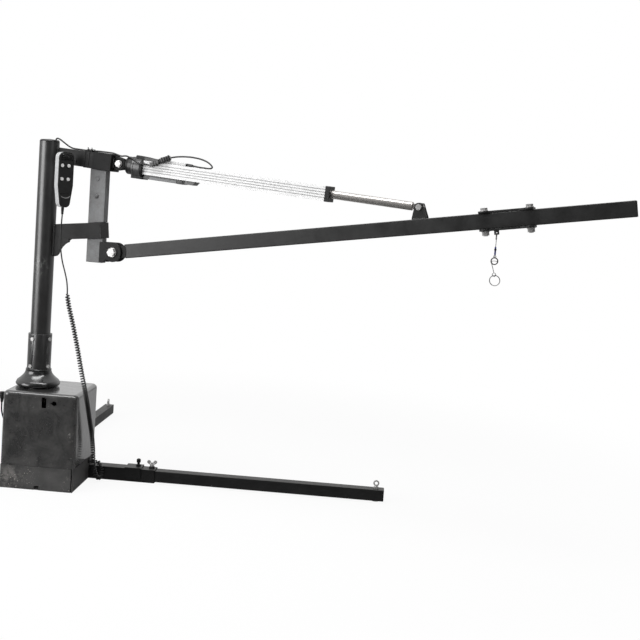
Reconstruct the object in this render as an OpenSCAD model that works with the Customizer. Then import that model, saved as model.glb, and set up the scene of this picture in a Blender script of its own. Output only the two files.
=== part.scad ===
// Swing crane for a pickup bed: a motor-turned mast on a low base with two
// telescoping legs, and a boom lifted by a linear actuator. Sizes in millimetres.
// The origin is on the floor under the mast's axis: +X along the right leg, +Y along the back leg.

/* [Base] */
// Width of the plinth, along X
plinth_w = 238; // [225:1:280]
// Depth of the plinth, along Y
plinth_d = 232; // [225:1:280]
// Height of the plinth's skirt below the cover's edge
plinth_h = 77; // [70:1:90]
// Sheet thickness of the plinth
plinth_t = 3; // [2:0.5:4]
// Distance from the mast's axis to the plinth's left side
mast_to_left = 72; // [70:1:80]
// Distance from the mast's axis to the plinth's front
mast_to_front = 114; // [100:1:120]
// Height of the cover's top above the floor
cover_top = 316; // [314:1:340]
// Wall of the moulded cover
cover_t = 3; // [2:0.5:4]
// Radius of the cover's upright corners
cover_corner_r = 20; // [12:1:28]
// Radius of the cover's top edge
cover_edge_r = 14; // [8:1:20]
// Thickness of the floor plate and the bridge plate
plate_t = 8; // [6:1:10]
// Long side of the floor bolt pattern
bolts_x = 120; // [100:1:130]
// Short side of the floor bolt pattern
bolts_y = 130; // [100:1:136]
// Diameter of the floor bolt holes
bolt_hole_d = 11; // [8:0.5:13]

/* [Legs] */
// Side of the square receiver tubes
receiver_side = 44.45; // [42:0.05:48]
// Wall of the receiver tubes
receiver_wall = 3; // [2:0.1:3.4]
// Running clearance between a leg and its receiver, each side
leg_gap = 0.175; // [0.1:0.025:0.4]
// Wall of the leg tubes
leg_wall = 3; // [2:0.5:5]
// Distance from the mast's axis back to the right leg's axis
right_leg_y = 90; // [88:1:92]
// Distance from the mast's axis left to the back leg's axis
back_leg_x = 29; // [27:1:40]
// Reach of the right receiver from the mast's axis
receiver_right_x = 392; // [370:1:420]
// Reach of the back receiver from the mast's axis
receiver_back_y = 345; // [330:1:380]
// Reach of the right leg from the mast's axis
leg_right_x = 1166; // [1050:1:1300]
// Reach of the back leg from the mast's axis
leg_back_y = 1041; // [950:1:1200]
// Length of a leg that stays inside its receiver
leg_insert = 200; // [190:1:205]
// Width of the strap over the receiver
strap_w = 55; // [40:1:70]

/* [Mast] */
// Outside diameter of the mast
mast_od = 63.5; // [60:0.5:68]
// Wall of the mast
mast_wall = 4.75; // [3:0.25:6]
// Height of the mast's top above the floor
mast_top = 1118; // [1110:1:1150]
// Outside diameter of the mast's socket
socket_od = 76; // [74:1:80]
// Height of the socket's top above the floor
socket_top = 491; // [470:1:520]
// Radius of the bell skirt's rim
bell_r = 71; // [60:1:74]
// Height of the bell skirt's neck above the floor
bell_top = 373; // [365:1:400]
// Outside diameter of the spindle where it runs in its bearings
spindle_d = 40; // [36:1:42]
// Outside diameter of the spindle bearings
bearing_od = 62; // [58:1:64]
// Width of a spindle bearing
bearing_w = 12; // [10:1:14]
// Wall of the bearing housing
housing_wall = 7; // [5:0.5:9]
// Module of the slew gears
gear_module = 2.5; // [2.5:0.01:2.6]
// Teeth on the slew gear
gear_teeth = 44; // [42:1:44]
// Teeth on the slew pinion
pinion_teeth = 14; // [14:1:15]
// Face width of the slew gears
gear_face = 18; // [14:1:18]
// Diameter of the slew motor
slew_motor_d = 62; // [50:1:64]

/* [Arms] */
// Swing of the boom from the right leg's direction, seen from above
swing = -16; // [-20:1:-10]
// Distance from the mast's axis back to the arms' middle plane
arm_y = 25; // [20:1:26]
// Height of the arm tubes
arm_h = 50.8; // [48:0.1:54]
// Width of the arm tubes
arm_w = 50; // [44:0.5:52]
// Wall of the arm tubes
arm_wall = 3; // [2:0.5:4]
// Upward tilt of the lower arm
lower_tilt = 6; // [4:0.5:7]
// Downward tilt of the upper arm
upper_tilt = 4; // [3:0.1:5]
// Thickness of the gussets under the arms
gusset_t = 5; // [4:0.5:8]
// Depth of the lower arm's gussets below the arm
lower_gusset = 62; // [58:1:66]
// Depth of the upper arm's gussets below the arm
upper_gusset = 44; // [40:1:48]
// Length of the upper arm's gussets
upper_gusset_len = 72; // [66:1:78]
// Width of the post, along the boom
post_w = 57; // [52:1:60]
// Depth of the post, across the boom
post_d = 25.4; // [24:0.1:30]
// Distance from the mast's axis to the post's outer face
post_out = 207.5; // [204:0.5:212]
// Height of the post's foot above the floor
post_foot = 740; // [735:1:746]
// Thickness of the clevis ears
ear_t = 6; // [4:0.5:8]

/* [Boom] */
// Distance from the mast's axis to the boom's pivot
boom_pivot_x = 249; // [246:1:256]
// Height of the boom's pivot
boom_pivot_z = 778; // [774:1:782]
// Upward pitch of the boom at rest
boom_pitch = 8.9; // [7:0.1:11]
// Length of the boom from its pivot
boom_len = 1605; // [1520:1:1700]
// Side of the square boom tube
boom_side = 44.45; // [42:0.05:48]
// Wall of the boom tube
boom_wall = 3.2; // [2.5:0.1:4]
// Distance from the pivot to the boom tube's coped end
boom_cope = 52; // [46:1:60]
// Outer radius of the boom's clevis ears
boom_ear_r = 31; // [27:1:34]
// Diameter of the boom's pivot bolt
boom_bolt_d = 16; // [12:1:18]
// Distance along the boom from its pivot to the rod's pivot
rod_pivot_x = 1010; // [1000:1:1020]
// Height of the rod's pivot above the boom's axis
rod_pivot_z = 56; // [54:1:60]
// Length of the clamp plates
clamp_len = 153; // [140:1:185]
// Width of the clamp plates over their rounded ends
clamp_w = 76; // [70:1:90]
// Thickness of the clamp plates
clamp_t = 6; // [4:0.5:8]
// Distance from the pivot to the near end of the clamp plates
clamp_x = 1181; // [1120:1:1250]
// Diameter of the clamp bolts
clamp_bolt_d = 12; // [8:1:14]

/* [Actuator] */
// Distance from the mast's axis to the actuator's rear pivot
act_pivot_x = 253; // [250:1:258]
// Height of the actuator's rear pivot
act_pivot_z = 1061; // [1056:1:1066]
// Outer radius of the actuator's clevis ears
act_ear_r = 20; // [17:1:22]
// Diameter of the actuator's pivot bolts
act_bolt_d = 12; // [10:1:14]
// Side of the actuator's square tube
act_side = 43.5; // [40:0.5:46]
// Bore of the actuator's tube
act_bore = 35; // [32:0.5:36]
// Distance from the rear pivot to the start of the tube
act_tube_x = 92; // [86:1:100]
// Length of the actuator's tube
act_tube_len = 611; // [560:1:620]
// Length of the motor's strip under the tube
motor_len = 146; // [136:1:156]
// Depth of the motor's strip
motor_h = 13; // [11:0.5:14]
// Length of the strip's slanted nose
motor_nose = 42; // [36:1:48]
// Length of the tall part of the housing on the tube
housing_len = 52; // [46:1:58]
// Diameter of the lifting rod
rod_d = 25; // [22:0.5:27]
// Diameter of the lead screw inside the rod
screw_d = 14; // [12:0.5:16]
// Radius of the rod's eye
rod_eye_r = 13; // [12:0.5:14]
// Width of the rod's eye
rod_eye_w = 16; // [14:0.5:18]

/* [Pendant] */
// Width of the hand control
pendant_w = 54; // [50:1:60]
// Length of the hand control
pendant_len = 181; // [170:1:190]
// Thickness of the hand control
pendant_t = 25; // [22:1:28]
// Turn of the hand control about its upright axis, away from the boom's direction
pendant_turn = -24; // [-30:1:-18]
// Diameter of the control's buttons
button_d = 11; // [9:0.5:13]
// Travel of a button
button_travel = 1.5; // [1:0.1:2]
// Outside diameter of the curly cord's coils
curl_od = 16; // [14:0.5:18]
// Diameter of the cord
cord_d = 4.5; // [4:0.1:5]
// Number of curls in the cord
curls = 88; // [60:1:100]

/* [Hidden] */
$fn = 48;
// Clearances: still joints, turning joints and pieces that only pass by
fit_gap = 0.3;
run_gap = 0.05;
side_gap = 0.5;

// Base
plinth_x0 = -mast_to_left;
plinth_x1 = plinth_x0 + plinth_w;
plinth_y0 = -mast_to_front;
plinth_y1 = plinth_y0 + plinth_d;
cover_over = fit_gap + cover_t;
bridge_z = receiver_side;
housing_z0 = bridge_z + plate_t;
housing_z1 = cover_top - 48;
housing_id = bearing_od + 2 * run_gap;
housing_od = bearing_od + 2 * housing_wall;
bearing_z1 = housing_z0 + 8;
bearing_z2 = housing_z1 - bearing_w;
gear_z = housing_z1 + 4;
shoulder_z = gear_z + gear_face;
tube_z = shoulder_z + 20;
gear_r = gear_module * gear_teeth / 2;
pinion_r = gear_module * pinion_teeth / 2;
pinion_turn = -40;
gear_centres = gear_r + pinion_r;
pinion_x = gear_centres * cos(pinion_turn);
pinion_y = gear_centres * sin(pinion_turn);
motor_top = housing_z1 - 64;
floor_x0 = -back_leg_x + receiver_side / 2;
floor_y1 = right_leg_y - receiver_side / 2;
bolts_cx = (floor_x0 + plinth_x1) / 2;
bolts_cy = (plinth_y0 + floor_y1) / 2;

// Legs
leg_side = receiver_side - 2 * receiver_wall - 2 * leg_gap;
leg_z = receiver_side / 2;
leg_start_x = receiver_right_x - leg_insert;
leg_start_y = receiver_back_y - leg_insert;
level_x = leg_right_x - 27;
level_y = leg_back_y - 24;
thumb_x = receiver_right_x - 15;
thumb_y = receiver_back_y - 15;
strap_x = receiver_right_x - 75;
strap_y = receiver_back_y - 75;
strap_t = 4;
boss_h = 8;
screw_r = 5;

// Mast
mast_r = mast_od / 2;
mast_id = mast_od - 2 * mast_wall;
socket_id = mast_od + 2 * fit_gap;
bell_z = cover_top + 3;

// Arms, in the frame turned by the swing
gusset_out = 81;
lower_end = post_out - 3.5;
lower_end_z = 845.5;
bracket_in = 165;
bracket_out = 232;
bracket_wall = 2.5;
post_in = post_out - post_w;
pendant_x = 81;
pendant_y = -42;
pendant_z = 905;
face_t = 5;
shell_t = pendant_t - face_t;
shell_wall = 3;
hook_gap = 6;
hook_z = pendant_z + pendant_len - 26;

// Boom, in its own frame from its pivot
boom_in = boom_side - 2 * boom_wall;
knuckle_w = post_d - 2 * side_gap;
knuckle_r = 22;
rod_ear_in = rod_eye_w / 2 + side_gap;
rod_ear_t = 5;
rod_ear_r = rod_eye_r;
boom_top = boom_side / 2;
lanyard_x = clamp_x + 47;
lanyard_y = -18;

// Actuator, in its own frame from its rear pivot
rod_pivot_dx = boom_pivot_x - act_pivot_x + rod_pivot_x * cos(boom_pitch) - rod_pivot_z * sin(boom_pitch);
rod_pivot_dz = boom_pivot_z - act_pivot_z + rod_pivot_x * sin(boom_pitch) + rod_pivot_z * cos(boom_pitch);
act_len = norm([rod_pivot_dx, rod_pivot_dz]);
act_drop = -atan2(rod_pivot_dz, rod_pivot_dx);
act_tube_end = act_tube_x + act_tube_len;
act_cap_len = 15;
act_eye_w = 12;
rod_start = act_tube_end - 260;
screw_end = act_tube_end - 60;
rod_travel = 210;
rod_neck = 8;
rod_thick_end = act_len - rod_eye_r - rod_neck;

// Cords: routes chosen by hand
gland_y = 60;
gland_z = 62;
relief_x = 12;
relief_z = 888.3;
relief_d = 10;
cord_top_route = [[75.5, -70.5, 888], [75.3, -70.8, 878], [75, -72, 862], [75.5, -75, 826], [77.5, -78, 791],
    [82, -81, 763], [89, -85, 736], [99, -90, 709], [108, -95, 682], [113, -100, 660], [114.5, -102, 646]];
cord_curl_route = [[114.5, -102, 646], [115.5, -103, 636], [123, -105, 600], [136, -106, 555], [148, -106, 508],
    [159, -106, 463], [171, -103, 405], [181, -94, 350], [186, -66, 290], [188, -34, 228], [190, -4, 168],
    [192, 12, 118], [195, 14, 78], [200, 14, 46], [206, 19, 24], [212, 32, 14], [215, 47, 20], [212, 57, 38],
    [204, 60, 54], [194, 60, 62], [184, 60, 62]];
plug_x = -104;
plug_y = -40;
plug_z = 261;
lead_d = 5;
lead_route = [[-104, -40, 261], [-104, -40, 250], [-104, -39, 236], [-103, -34, 220], [-101, -25, 203],
    [-99, -12, 185], [-97, 4, 166], [-95, 20, 146], [-94, 36, 124], [-93, 49, 102], [-92, 57, 80],
    [-89, 60, 63], [-83, 60, 55], [-72, 60, 53]];
arm_cable_d = 5;
arm_cable_route = [[12, -8, 1126], [13.5, -8, 1130], [18, -7.5, 1131.5], [26, -7, 1129], [38, -5.5, 1121.5],
    [50, -3.5, 1113.5], [60, -2, 1107.5], [72, 0, 1102.6], [90, 0, 1100.7], [120, 0, 1098.6], [150, 0, 1097.2],
    [165, -2, 1097.6], [180, -6, 1097],
    [205, -11, 1095.6], [226, -14, 1094.2], [236, -15, 1092.6]];
act_cable_route = [[6, -15, 25.5], [16, -15, 27], [27, -15.5, 27.6], [40, -19, 24.8], [49, -23.2, 23.5],
    [60, -27, 19.4],
    [72, -30.7, 14.2], [82, -33, 11], [93, -33.2, 9.2], [104, -28, 9.4], [116, -25.4, 10], [132, -25.6, 15],
    [150, -25.4, 24], [168, -24.5, 34], [186, -22, 42], [205, -20, 47], [228, -17, 50.5], [254, -15, 52],
    [284, -14, 50], [308, -14, 44], [323, -14, 35], [326, -14, 28.5], [318, -14, 25], [303, -14, 24.6],
    [280, -13, 24.6], [258, -11, 24.9], [238.5, -10, 25.6]];

// Frames and plain shapes

module turned() { rotate([0, 0, swing]) children(); }

// The plane of the arms, the boom and the actuator, behind the mast's axis
module arm_plane() { turned() translate([0, arm_y, 0]) children(); }

module boom_frame() {
    arm_plane() translate([boom_pivot_x, 0, boom_pivot_z]) rotate([0, -boom_pitch, 0]) children();
}

module act_frame() {
    arm_plane() translate([act_pivot_x, 0, act_pivot_z]) rotate([0, act_drop, 0]) children();
}

module box(x0, x1, y0, y1, z0, z1) {
    translate([x0, y0, z0]) cube([x1 - x0, y1 - y0, z1 - z0]);
}

module cross_pin(d, y0, y1) {
    translate([0, y0, 0]) rotate([-90, 0, 0]) cylinder(d = d, h = y1 - y0);
}

module bar(x0, x1, w, h) { box(x0, x1, -w / 2, w / 2, -h / 2, h / 2); }

module tube_x(x0, x1, w, h, wall) {
    difference() {
        bar(x0, x1, w, h);
        bar(x0 - 1, x1 + 1, w - 2 * wall, h - 2 * wall);
    }
}

module hex_bolt_head(d, h) {
    cylinder(d = d * 1.7, h = h, $fn = 6);
}

// A flat plate in the XZ plane, from y0 over a thickness t
module upright_plate(outline, y0, t) {
    translate([0, y0 + t, 0]) rotate([90, 0, 0]) linear_extrude(height = t) polygon(outline);
}

function arc(cx, cy, r, a0, a1, steps) =
    [for (i = [0:steps]) let (a = a0 + (a1 - a0) * i / steps) [cx + r * cos(a), cy + r * sin(a)]];

// Swept tubes: a curve through the route's points, rings square to it, and triangles between the rings

ref_side = [0.7071, -0.7071, 0];
function unit(v) = v / norm(v);
function at_end(route, i) = route[max(0, min(len(route) - 1, i))];
function on_curve(route, s) =
    let (n = len(route) - 1, u = min(max(s, 0), 0.999999) * n, i = floor(u), t = u - i,
         a = at_end(route, i - 1), b = at_end(route, i), c = at_end(route, i + 1), d = at_end(route, i + 2))
    0.5 * (2 * b + (c - a) * t + (2 * a - 5 * b + 4 * c - d) * t * t + (3 * b - a - 3 * c + d) * t * t * t);
function heading(route, s) = unit(on_curve(route, s + 0.004) - on_curve(route, s - 0.004));
function ring_points(p, dir, r, sides, side_dir) =
    let (u = unit(cross(dir, side_dir)), v = cross(dir, u))
    [for (k = [0:sides - 1]) p + r * (cos(360 * k / sides) * u + sin(360 * k / sides) * v)];
function path_length(p, i = 0) = i >= len(p) - 1 ? 0 : norm(p[i + 1] - p[i]) + path_length(p, i + 1);

// A closed tube of triangles through its rings
module swept_rings(rings, sides) {
    n = len(rings) / sides;
    walls = [for (i = [0:n - 2]) for (k = [0:sides - 1])
        let (a = i * sides + k, b = i * sides + (k + 1) % sides)
        each [[a, b, b + sides], [a, b + sides, a + sides]]];
    first = [for (k = [1:sides - 2]) [0, k + 1, k]];
    last = [for (k = [1:sides - 2]) let (o = (n - 1) * sides) [o, o + k, o + k + 1]];
    polyhedron(points = rings, faces = concat(walls, first, last));
}

module plain_cord(route, d, sides, rings, side_dir = ref_side) {
    swept_rings([for (i = [0:rings]) let (s = i / rings)
        each ring_points(on_curve(route, s), heading(route, s), d / 2, sides, side_dir)], sides);
}

// Base

module bearing_housing() {
    difference() {
        translate([0, 0, housing_z0]) cylinder(d = housing_od, h = housing_z1 - housing_z0);
        translate([0, 0, housing_z0 - 1]) cylinder(d = housing_id - 8, h = housing_z1 - housing_z0 + 2);
        translate([0, 0, bearing_z1]) cylinder(d = housing_id, h = housing_z1 - bearing_z1 + 1);
    }
}

module housing_rib() {
    upright_plate([[housing_od / 2 - 1, housing_z0], [housing_od / 2 + 24, housing_z0],
        [housing_od / 2 + 24, housing_z0 + 10], [housing_od / 2 - 1, housing_z0 + 70]], -3, 6);
}

module base_frame() color([0.12, 0.12, 0.13]) {
    difference() {
        box(floor_x0, plinth_x1 - plinth_t, plinth_y0 + plinth_t, floor_y1, 0, plate_t);
        for (sx = [-1, 1], sy = [-1, 1])
            translate([bolts_cx + sx * bolts_x / 2, bolts_cy + sy * bolts_y / 2, -1])
                cylinder(d = bolt_hole_d, h = plate_t + 2);
    }
    box(floor_x0, floor_x0 + plate_t, plinth_y0 + plinth_t, floor_y1, plate_t, bridge_z);
    box(floor_x0 + plate_t, plinth_x1 - 60, floor_y1 - plate_t, floor_y1, plate_t, bridge_z);
    box(plinth_x0 + plinth_t + 1, pinion_x + 40, pinion_y - 34, right_leg_y + receiver_side / 2,
        bridge_z, housing_z0);
    bearing_housing();
    for (a = [35, 120, 210]) rotate([0, 0, a]) housing_rib();
}

module plinth_wall(h) {
    difference() {
        box(plinth_x0, plinth_x1, plinth_y0, plinth_y1, 0, h);
        box(plinth_x0 + plinth_t, plinth_x1 - plinth_t, plinth_y0 + plinth_t, plinth_y1 - plinth_t, -1, h + 1);
    }
}

module plinth() color([0.15, 0.15, 0.16]) {
    notch_x = 48;
    difference() {
        plinth_wall(plinth_h + 14);
        box(notch_x - 8, notch_x + 8, plinth_y0 - 1, plinth_y0 + plinth_t + 1, -1, 13);
        box(plinth_x1 - plinth_t - 3, plinth_x1 - plinth_t, plinth_y0 - 1, plinth_y0 + plinth_t + 1, -1, plinth_h);
        box(plinth_x1 - plinth_t - 1, plinth_x1 + 1, floor_y1 - fit_gap,
            floor_y1 + receiver_side + fit_gap, -1, receiver_side + fit_gap);
        box(floor_x0 - receiver_side - fit_gap, floor_x0 + fit_gap, plinth_y1 - plinth_t - 1, plinth_y1 + 1,
            -1, receiver_side + fit_gap);
        notch = cover_corner_r / 2 + 2;
        for (x = [plinth_x0, plinth_x1], y = [plinth_y0, plinth_y1])
            box(x - notch, x + notch, y - notch, y + notch, plinth_h, plinth_h + 15);
    }
}

cover_x0 = plinth_x0 - cover_over;
cover_x1 = plinth_x1 + cover_over;
cover_y0 = plinth_y0 - cover_over;
cover_y1 = plinth_y1 + cover_over;

// The cover's outside: round upright corners and a round top edge
module cover_outside() {
    r = cover_corner_r;
    e = cover_edge_r;
    hull() for (x = [cover_x0 + r, cover_x1 - r], y = [cover_y0 + r, cover_y1 - r])
        translate([x, y, 0]) rotate_extrude($fn = 32)
            polygon(concat([[0, plinth_h], [r, plinth_h]], arc(r - e, cover_top - e, e, 0, 90, 5), [[0, cover_top]]));
}

// A prism with cut corners, for the hollow inside the cover
module cut_box(inset, cut, z0, z1) {
    x0 = cover_x0 + inset;
    x1 = cover_x1 - inset;
    y0 = cover_y0 + inset;
    y1 = cover_y1 - inset;
    translate([0, 0, z0]) linear_extrude(height = z1 - z0) polygon([[x0 + cut, y0], [x1 - cut, y0], [x1, y0 + cut],
        [x1, y1 - cut], [x1 - cut, y1], [x0 + cut, y1], [x0, y1 - cut], [x0, y0 + cut]]);
}

module cover() color([0.1, 0.1, 0.11]) {
    slot_x = 62;
    key_x = 95;
    difference() {
        cover_outside();
        cut_box(cover_t, cover_corner_r / 2, plinth_h - 1, cover_top - cover_edge_r);
        cut_box(cover_t + 6, cover_corner_r / 2, cover_top - cover_edge_r - 1, cover_top - cover_t);
        translate([0, 0, cover_top - 20]) cylinder(d = socket_od + 8, h = 40);
        box(slot_x - 7.5, slot_x + 7.5, plinth_y0 - 20, plinth_y0 + 20, 269, 303);
        translate([key_x, plinth_y0, 286]) cross_pin(15, -20, 20);
        box(key_x - 11, key_x + 11, plinth_y0 - 20, plinth_y0 + 20, 284.5, 287.5);
    }
}

module ring_bearing(z) {
    translate([0, 0, z]) {
        difference() {
            cylinder(d = bearing_od, h = bearing_w);
            translate([0, 0, -1]) cylinder(d = bearing_od - 7, h = bearing_w + 2);
        }
        difference() {
            cylinder(d = spindle_d + 7, h = bearing_w);
            translate([0, 0, -1]) cylinder(d = spindle_d + 2 * run_gap, h = bearing_w + 2);
        }
        difference() {
            translate([0, 0, 1.5]) cylinder(d = bearing_od - 7, h = bearing_w - 3);
            translate([0, 0, -1]) cylinder(d = spindle_d + 7, h = bearing_w + 2);
        }
    }
}

module spindle_bearings() color([0.7, 0.7, 0.72]) {
    ring_bearing(bearing_z1);
    ring_bearing(bearing_z2);
}

module slew_motor() color([0.35, 0.36, 0.38]) {
    translate([pinion_x, pinion_y, 0]) {
        translate([0, 0, housing_z0]) cylinder(d = slew_motor_d, h = motor_top - housing_z0);
        translate([0, 0, motor_top]) cylinder(d = slew_motor_d - 6, h = 34);
        translate([0, 0, motor_top + 34]) cylinder(d = slew_motor_d - 22, h = 14);
        translate([0, 0, motor_top + 48]) cylinder(d = 12, h = gear_z + gear_face - motor_top - 48);
    }
}

module control_box() color([0.2, 0.2, 0.22]) {
    difference() {
        box(plinth_x1 - 62, plinth_x1 - 12, bolts_cy - 50, bolts_cy + 50, plate_t, 150);
        for (z = [30:14:128]) box(plinth_x1 - 64, plinth_x1 - 60, bolts_cy - 38, bolts_cy + 38, z, z + 5);
    }
}

module receiver(len_in) {
    difference() {
        union() {
            tube_x(0, len_in, receiver_side, receiver_side, receiver_wall);
            translate([len_in - 15, 0, receiver_side / 2]) cylinder(d = 19, h = boss_h);
        }
        translate([len_in - 15, 0, receiver_side / 2 - receiver_wall - 1])
            cylinder(r = screw_r + run_gap, h = receiver_wall + boss_h + 2);
    }
}

module along_right(x) { translate([x, right_leg_y, leg_z]) children(); }

module along_back(y) { translate([-back_leg_x, y, leg_z]) rotate([0, 0, 90]) children(); }

receiver_back_y0 = plinth_y0 + plinth_t + 6;
receiver_right_x0 = floor_x0;

module receiver_right() color([0.13, 0.13, 0.14])
    along_right(receiver_right_x0) receiver(receiver_right_x - receiver_right_x0);

module receiver_back() color([0.13, 0.13, 0.14])
    along_back(receiver_back_y0) receiver(receiver_back_y - receiver_back_y0);

module strap() {
    s = receiver_side;
    difference() {
        bar(-strap_w / 2, strap_w / 2, s + 2 * strap_t, s + 2 * strap_t);
        box(-strap_w, strap_w, -s / 2 - 0.1, s / 2 + 0.1, -s, s / 2 + 0.1);
        box(-strap_w, strap_w, -s, s, -s, -s / 2 + 10);
    }
    translate([strap_w / 2 - 14, 0, s / 2 + strap_t]) {
        hex_bolt_head(10, 6);
        cylinder(d = 9, h = 26);
        translate([0, 0, 14]) cylinder(d = 14, h = 10);
    }
}

module receiver_straps() color([0.13, 0.13, 0.14]) {
    along_right(strap_x) strap();
    along_back(strap_y) strap();
}

module leg(length, bolt_at) {
    difference() {
        tube_x(0, length, leg_side, leg_side, leg_wall);
        translate([bolt_at, 0, -leg_side]) cylinder(r = screw_r + run_gap, h = 2 * leg_side);
    }
}

module leg_right() color([0.14, 0.14, 0.15])
    along_right(leg_start_x) leg(leg_right_x - leg_start_x, level_x - leg_start_x);

module leg_back() color([0.14, 0.14, 0.15])
    along_back(leg_start_y) leg(leg_back_y - leg_start_y, level_y - leg_start_y);

// Levelling bolt: an eye on top, a nut on the leg and a foot on the floor
module level_bolt() {
    foot_h = leg_z - leg_side / 2 - leg_gap;
    translate([0, 0, -leg_z]) {
        cylinder(d = 26, h = foot_h);
        cylinder(r = screw_r, h = leg_z + leg_side / 2 + 12);
        translate([0, 0, leg_z + leg_side / 2 + leg_gap]) hex_bolt_head(10, 6);
        translate([0, 0, leg_z + leg_side / 2 + 18]) difference() {
            cross_pin(20, -2.5, 2.5);
            cross_pin(11, -4, 4);
        }
    }
}

module level_bolt_right() color("silver") along_right(level_x) level_bolt();

module level_bolt_back() color("silver") along_back(level_y) level_bolt();

// Thumb screw: a shank down to the leg, a collar and two wings
module thumb_screw() {
    z0 = leg_side / 2 + 0.15;
    z1 = receiver_side / 2 + boss_h + fit_gap;
    translate([0, 0, z0]) cylinder(r = screw_r, h = z1 + 12 - z0);
    translate([0, 0, z1]) cylinder(d = 14, h = 5);
    for (s = [-1, 1])
        upright_plate(concat([[s * 4, z1 + 3]], [for (p = arc(s * 11, z1 + 14, 6, -60, 240, 14)) p]), -1.5, 3);
}

module thumb_screw_right() color("silver") along_right(thumb_x) thumb_screw();

module thumb_screw_back() color("silver") along_back(thumb_y) thumb_screw();

module cord_gland() color([0.1, 0.1, 0.1])
    translate([plinth_x1, gland_y, gland_z]) rotate([0, 90, 0]) {
        cylinder(d = 20, h = 6, $fn = 6);
        cylinder(d1 = 14, d2 = 9, h = 184 - plinth_x1);
    }

module power_plug() color([0.09, 0.09, 0.1]) {
    translate([plug_x, plug_y, plug_z]) {
        cylinder(d1 = 8, d2 = 12, h = 14);
        translate([0, 0, 14]) cylinder(d = 16, h = 20);
        for (z = [16, 22, 28]) translate([0, 0, z]) cylinder(d = 18, h = 3);
    }
    translate([plug_x, plug_y, plug_z + 24]) rotate([0, 90, 0])
        cylinder(d = 12, h = plinth_x0 - cover_over - plug_x);
}

module power_lead() color([0.1, 0.1, 0.1]) plain_cord(lead_route, lead_d, 8, 30, [0, 0.6, 0.8]);

module pendant_cord() color([0.08, 0.08, 0.08]) plain_cord(cord_top_route, cord_d, 8, 24);

// The curly stretch: a helix round its route at an even pitch, straight for one diameter at both ends
curl_rings = 8;
curl_steps = curls * curl_rings;
curl_r = (curl_od - cord_d) / 2;
curl_marks = 240;
curl_marked = [for (i = [0:curl_marks]) on_curve(cord_curl_route, i / curl_marks)];
curl_travel = [for (i = 0, l = 0; i <= curl_marks;
    l = l + (i < curl_marks ? norm(curl_marked[i + 1] - curl_marked[i]) : 0), i = i + 1) [l, i / curl_marks]];
curl_axis_len = curl_travel[curl_marks][0];
curl_straight = cord_d / curl_axis_len;
function route_at(s) = lookup(s * curl_axis_len, curl_travel);
function curl_ease(s) = max(0, min(1, (min(s, 1 - s) - curl_straight) * curls * 0.8));
function curl_point(s) =
    let (t = route_at(s), p = on_curve(cord_curl_route, t), dir = heading(cord_curl_route, t),
         u = unit(cross(dir, ref_side)), v = cross(dir, u), a = 360 * curls * s)
    p + curl_r * curl_ease(s) * (cos(a) * u + sin(a) * v);
curl_points = [for (i = [0:curl_steps]) curl_point(i / curl_steps)];
function curl_axis_dir(i) = heading(cord_curl_route, route_at(i / curl_steps));
function curl_heading(i) =
    i < 2 || i > curl_steps - 2 ? curl_axis_dir(i) : unit(curl_points[i + 1] - curl_points[i - 1]);

// Least distance between one curl and the next, less the cord's diameter
function curl_gap(i) = min([for (k = [-2:2]) norm(curl_points[i + curl_rings + k] - curl_points[i])]) - cord_d;
least_gap = min([for (i = [curl_rings:curl_steps - 3 * curl_rings]) curl_gap(i)]);
echo(least_curl_gap = least_gap, curl_axis_len = curl_axis_len, cord_length = path_length(curl_points));

module pendant_cord_curls() color([0.08, 0.08, 0.08]) {
    rings = [for (i = [0:curl_steps])
        each ring_points(curl_points[i], curl_heading(i), cord_d / 2, 6, curl_axis_dir(i) + 0.35 * ref_side)];
    swept_rings(rings, 6);
}

// Slew drive

// Spur gear outline: each tooth has a root, two flank points and a tip on both sides
function gear_outline(m, n, play) =
    [for (i = [0:n - 1])
        let (step = 360 / n, a = i * step, r = m * n / 2)
        each [for (q = [[-0.40, r - 1.25 * m], [-0.25, r - 0.1 * m], [-0.19, r + 0.45 * m], [-0.11, r + m],
                        [0.11, r + m], [0.19, r + 0.45 * m], [0.25, r - 0.1 * m], [0.40, r - 1.25 * m]])
            let (f = sign(q[0]) * (abs(q[0]) * step - play / r * 57.3))
            q[1] * [cos(a + f), sin(a + f)]]];

module slew_gear() color([0.5, 0.5, 0.52])
    difference() {
        translate([0, 0, gear_z]) union() {
            rotate([0, 0, pinion_turn]) linear_extrude(height = gear_face)
                polygon(gear_outline(gear_module, gear_teeth, 0.15));
        }
        translate([0, 0, gear_z - 1]) cylinder(d = spindle_d, h = gear_face + 2);
        for (a = [0:60:300]) rotate([0, 0, a]) translate([(spindle_d / 2 + gear_r) / 2 - 1, 0, gear_z - 1])
            cylinder(d = 16, h = gear_face + 2);
    }

module slew_pinion() color([0.6, 0.6, 0.62])
    translate([pinion_x, pinion_y, gear_z]) difference() {
        rotate([0, 0, pinion_turn + 180 + 180 / pinion_teeth]) linear_extrude(height = gear_face)
            polygon(gear_outline(gear_module, pinion_teeth, 0.15));
        translate([0, 0, -1]) cylinder(d = 12 + 2 * run_gap, h = gear_face + 2);
    }

module spindle() color([0.65, 0.65, 0.67]) {
    translate([0, 0, bearing_z1 - 4]) cylinder(d = spindle_d, h = shoulder_z - bearing_z1 + 4);
    translate([0, 0, housing_z1 + run_gap]) cylinder(d = spindle_d + 6, h = gear_z - housing_z1 - run_gap);
    translate([0, 0, shoulder_z]) cylinder(d = mast_od, h = tube_z - shoulder_z);
    translate([0, 0, tube_z]) cylinder(d = mast_id - 2 * run_gap, h = 90);
}

// Mast

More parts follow.
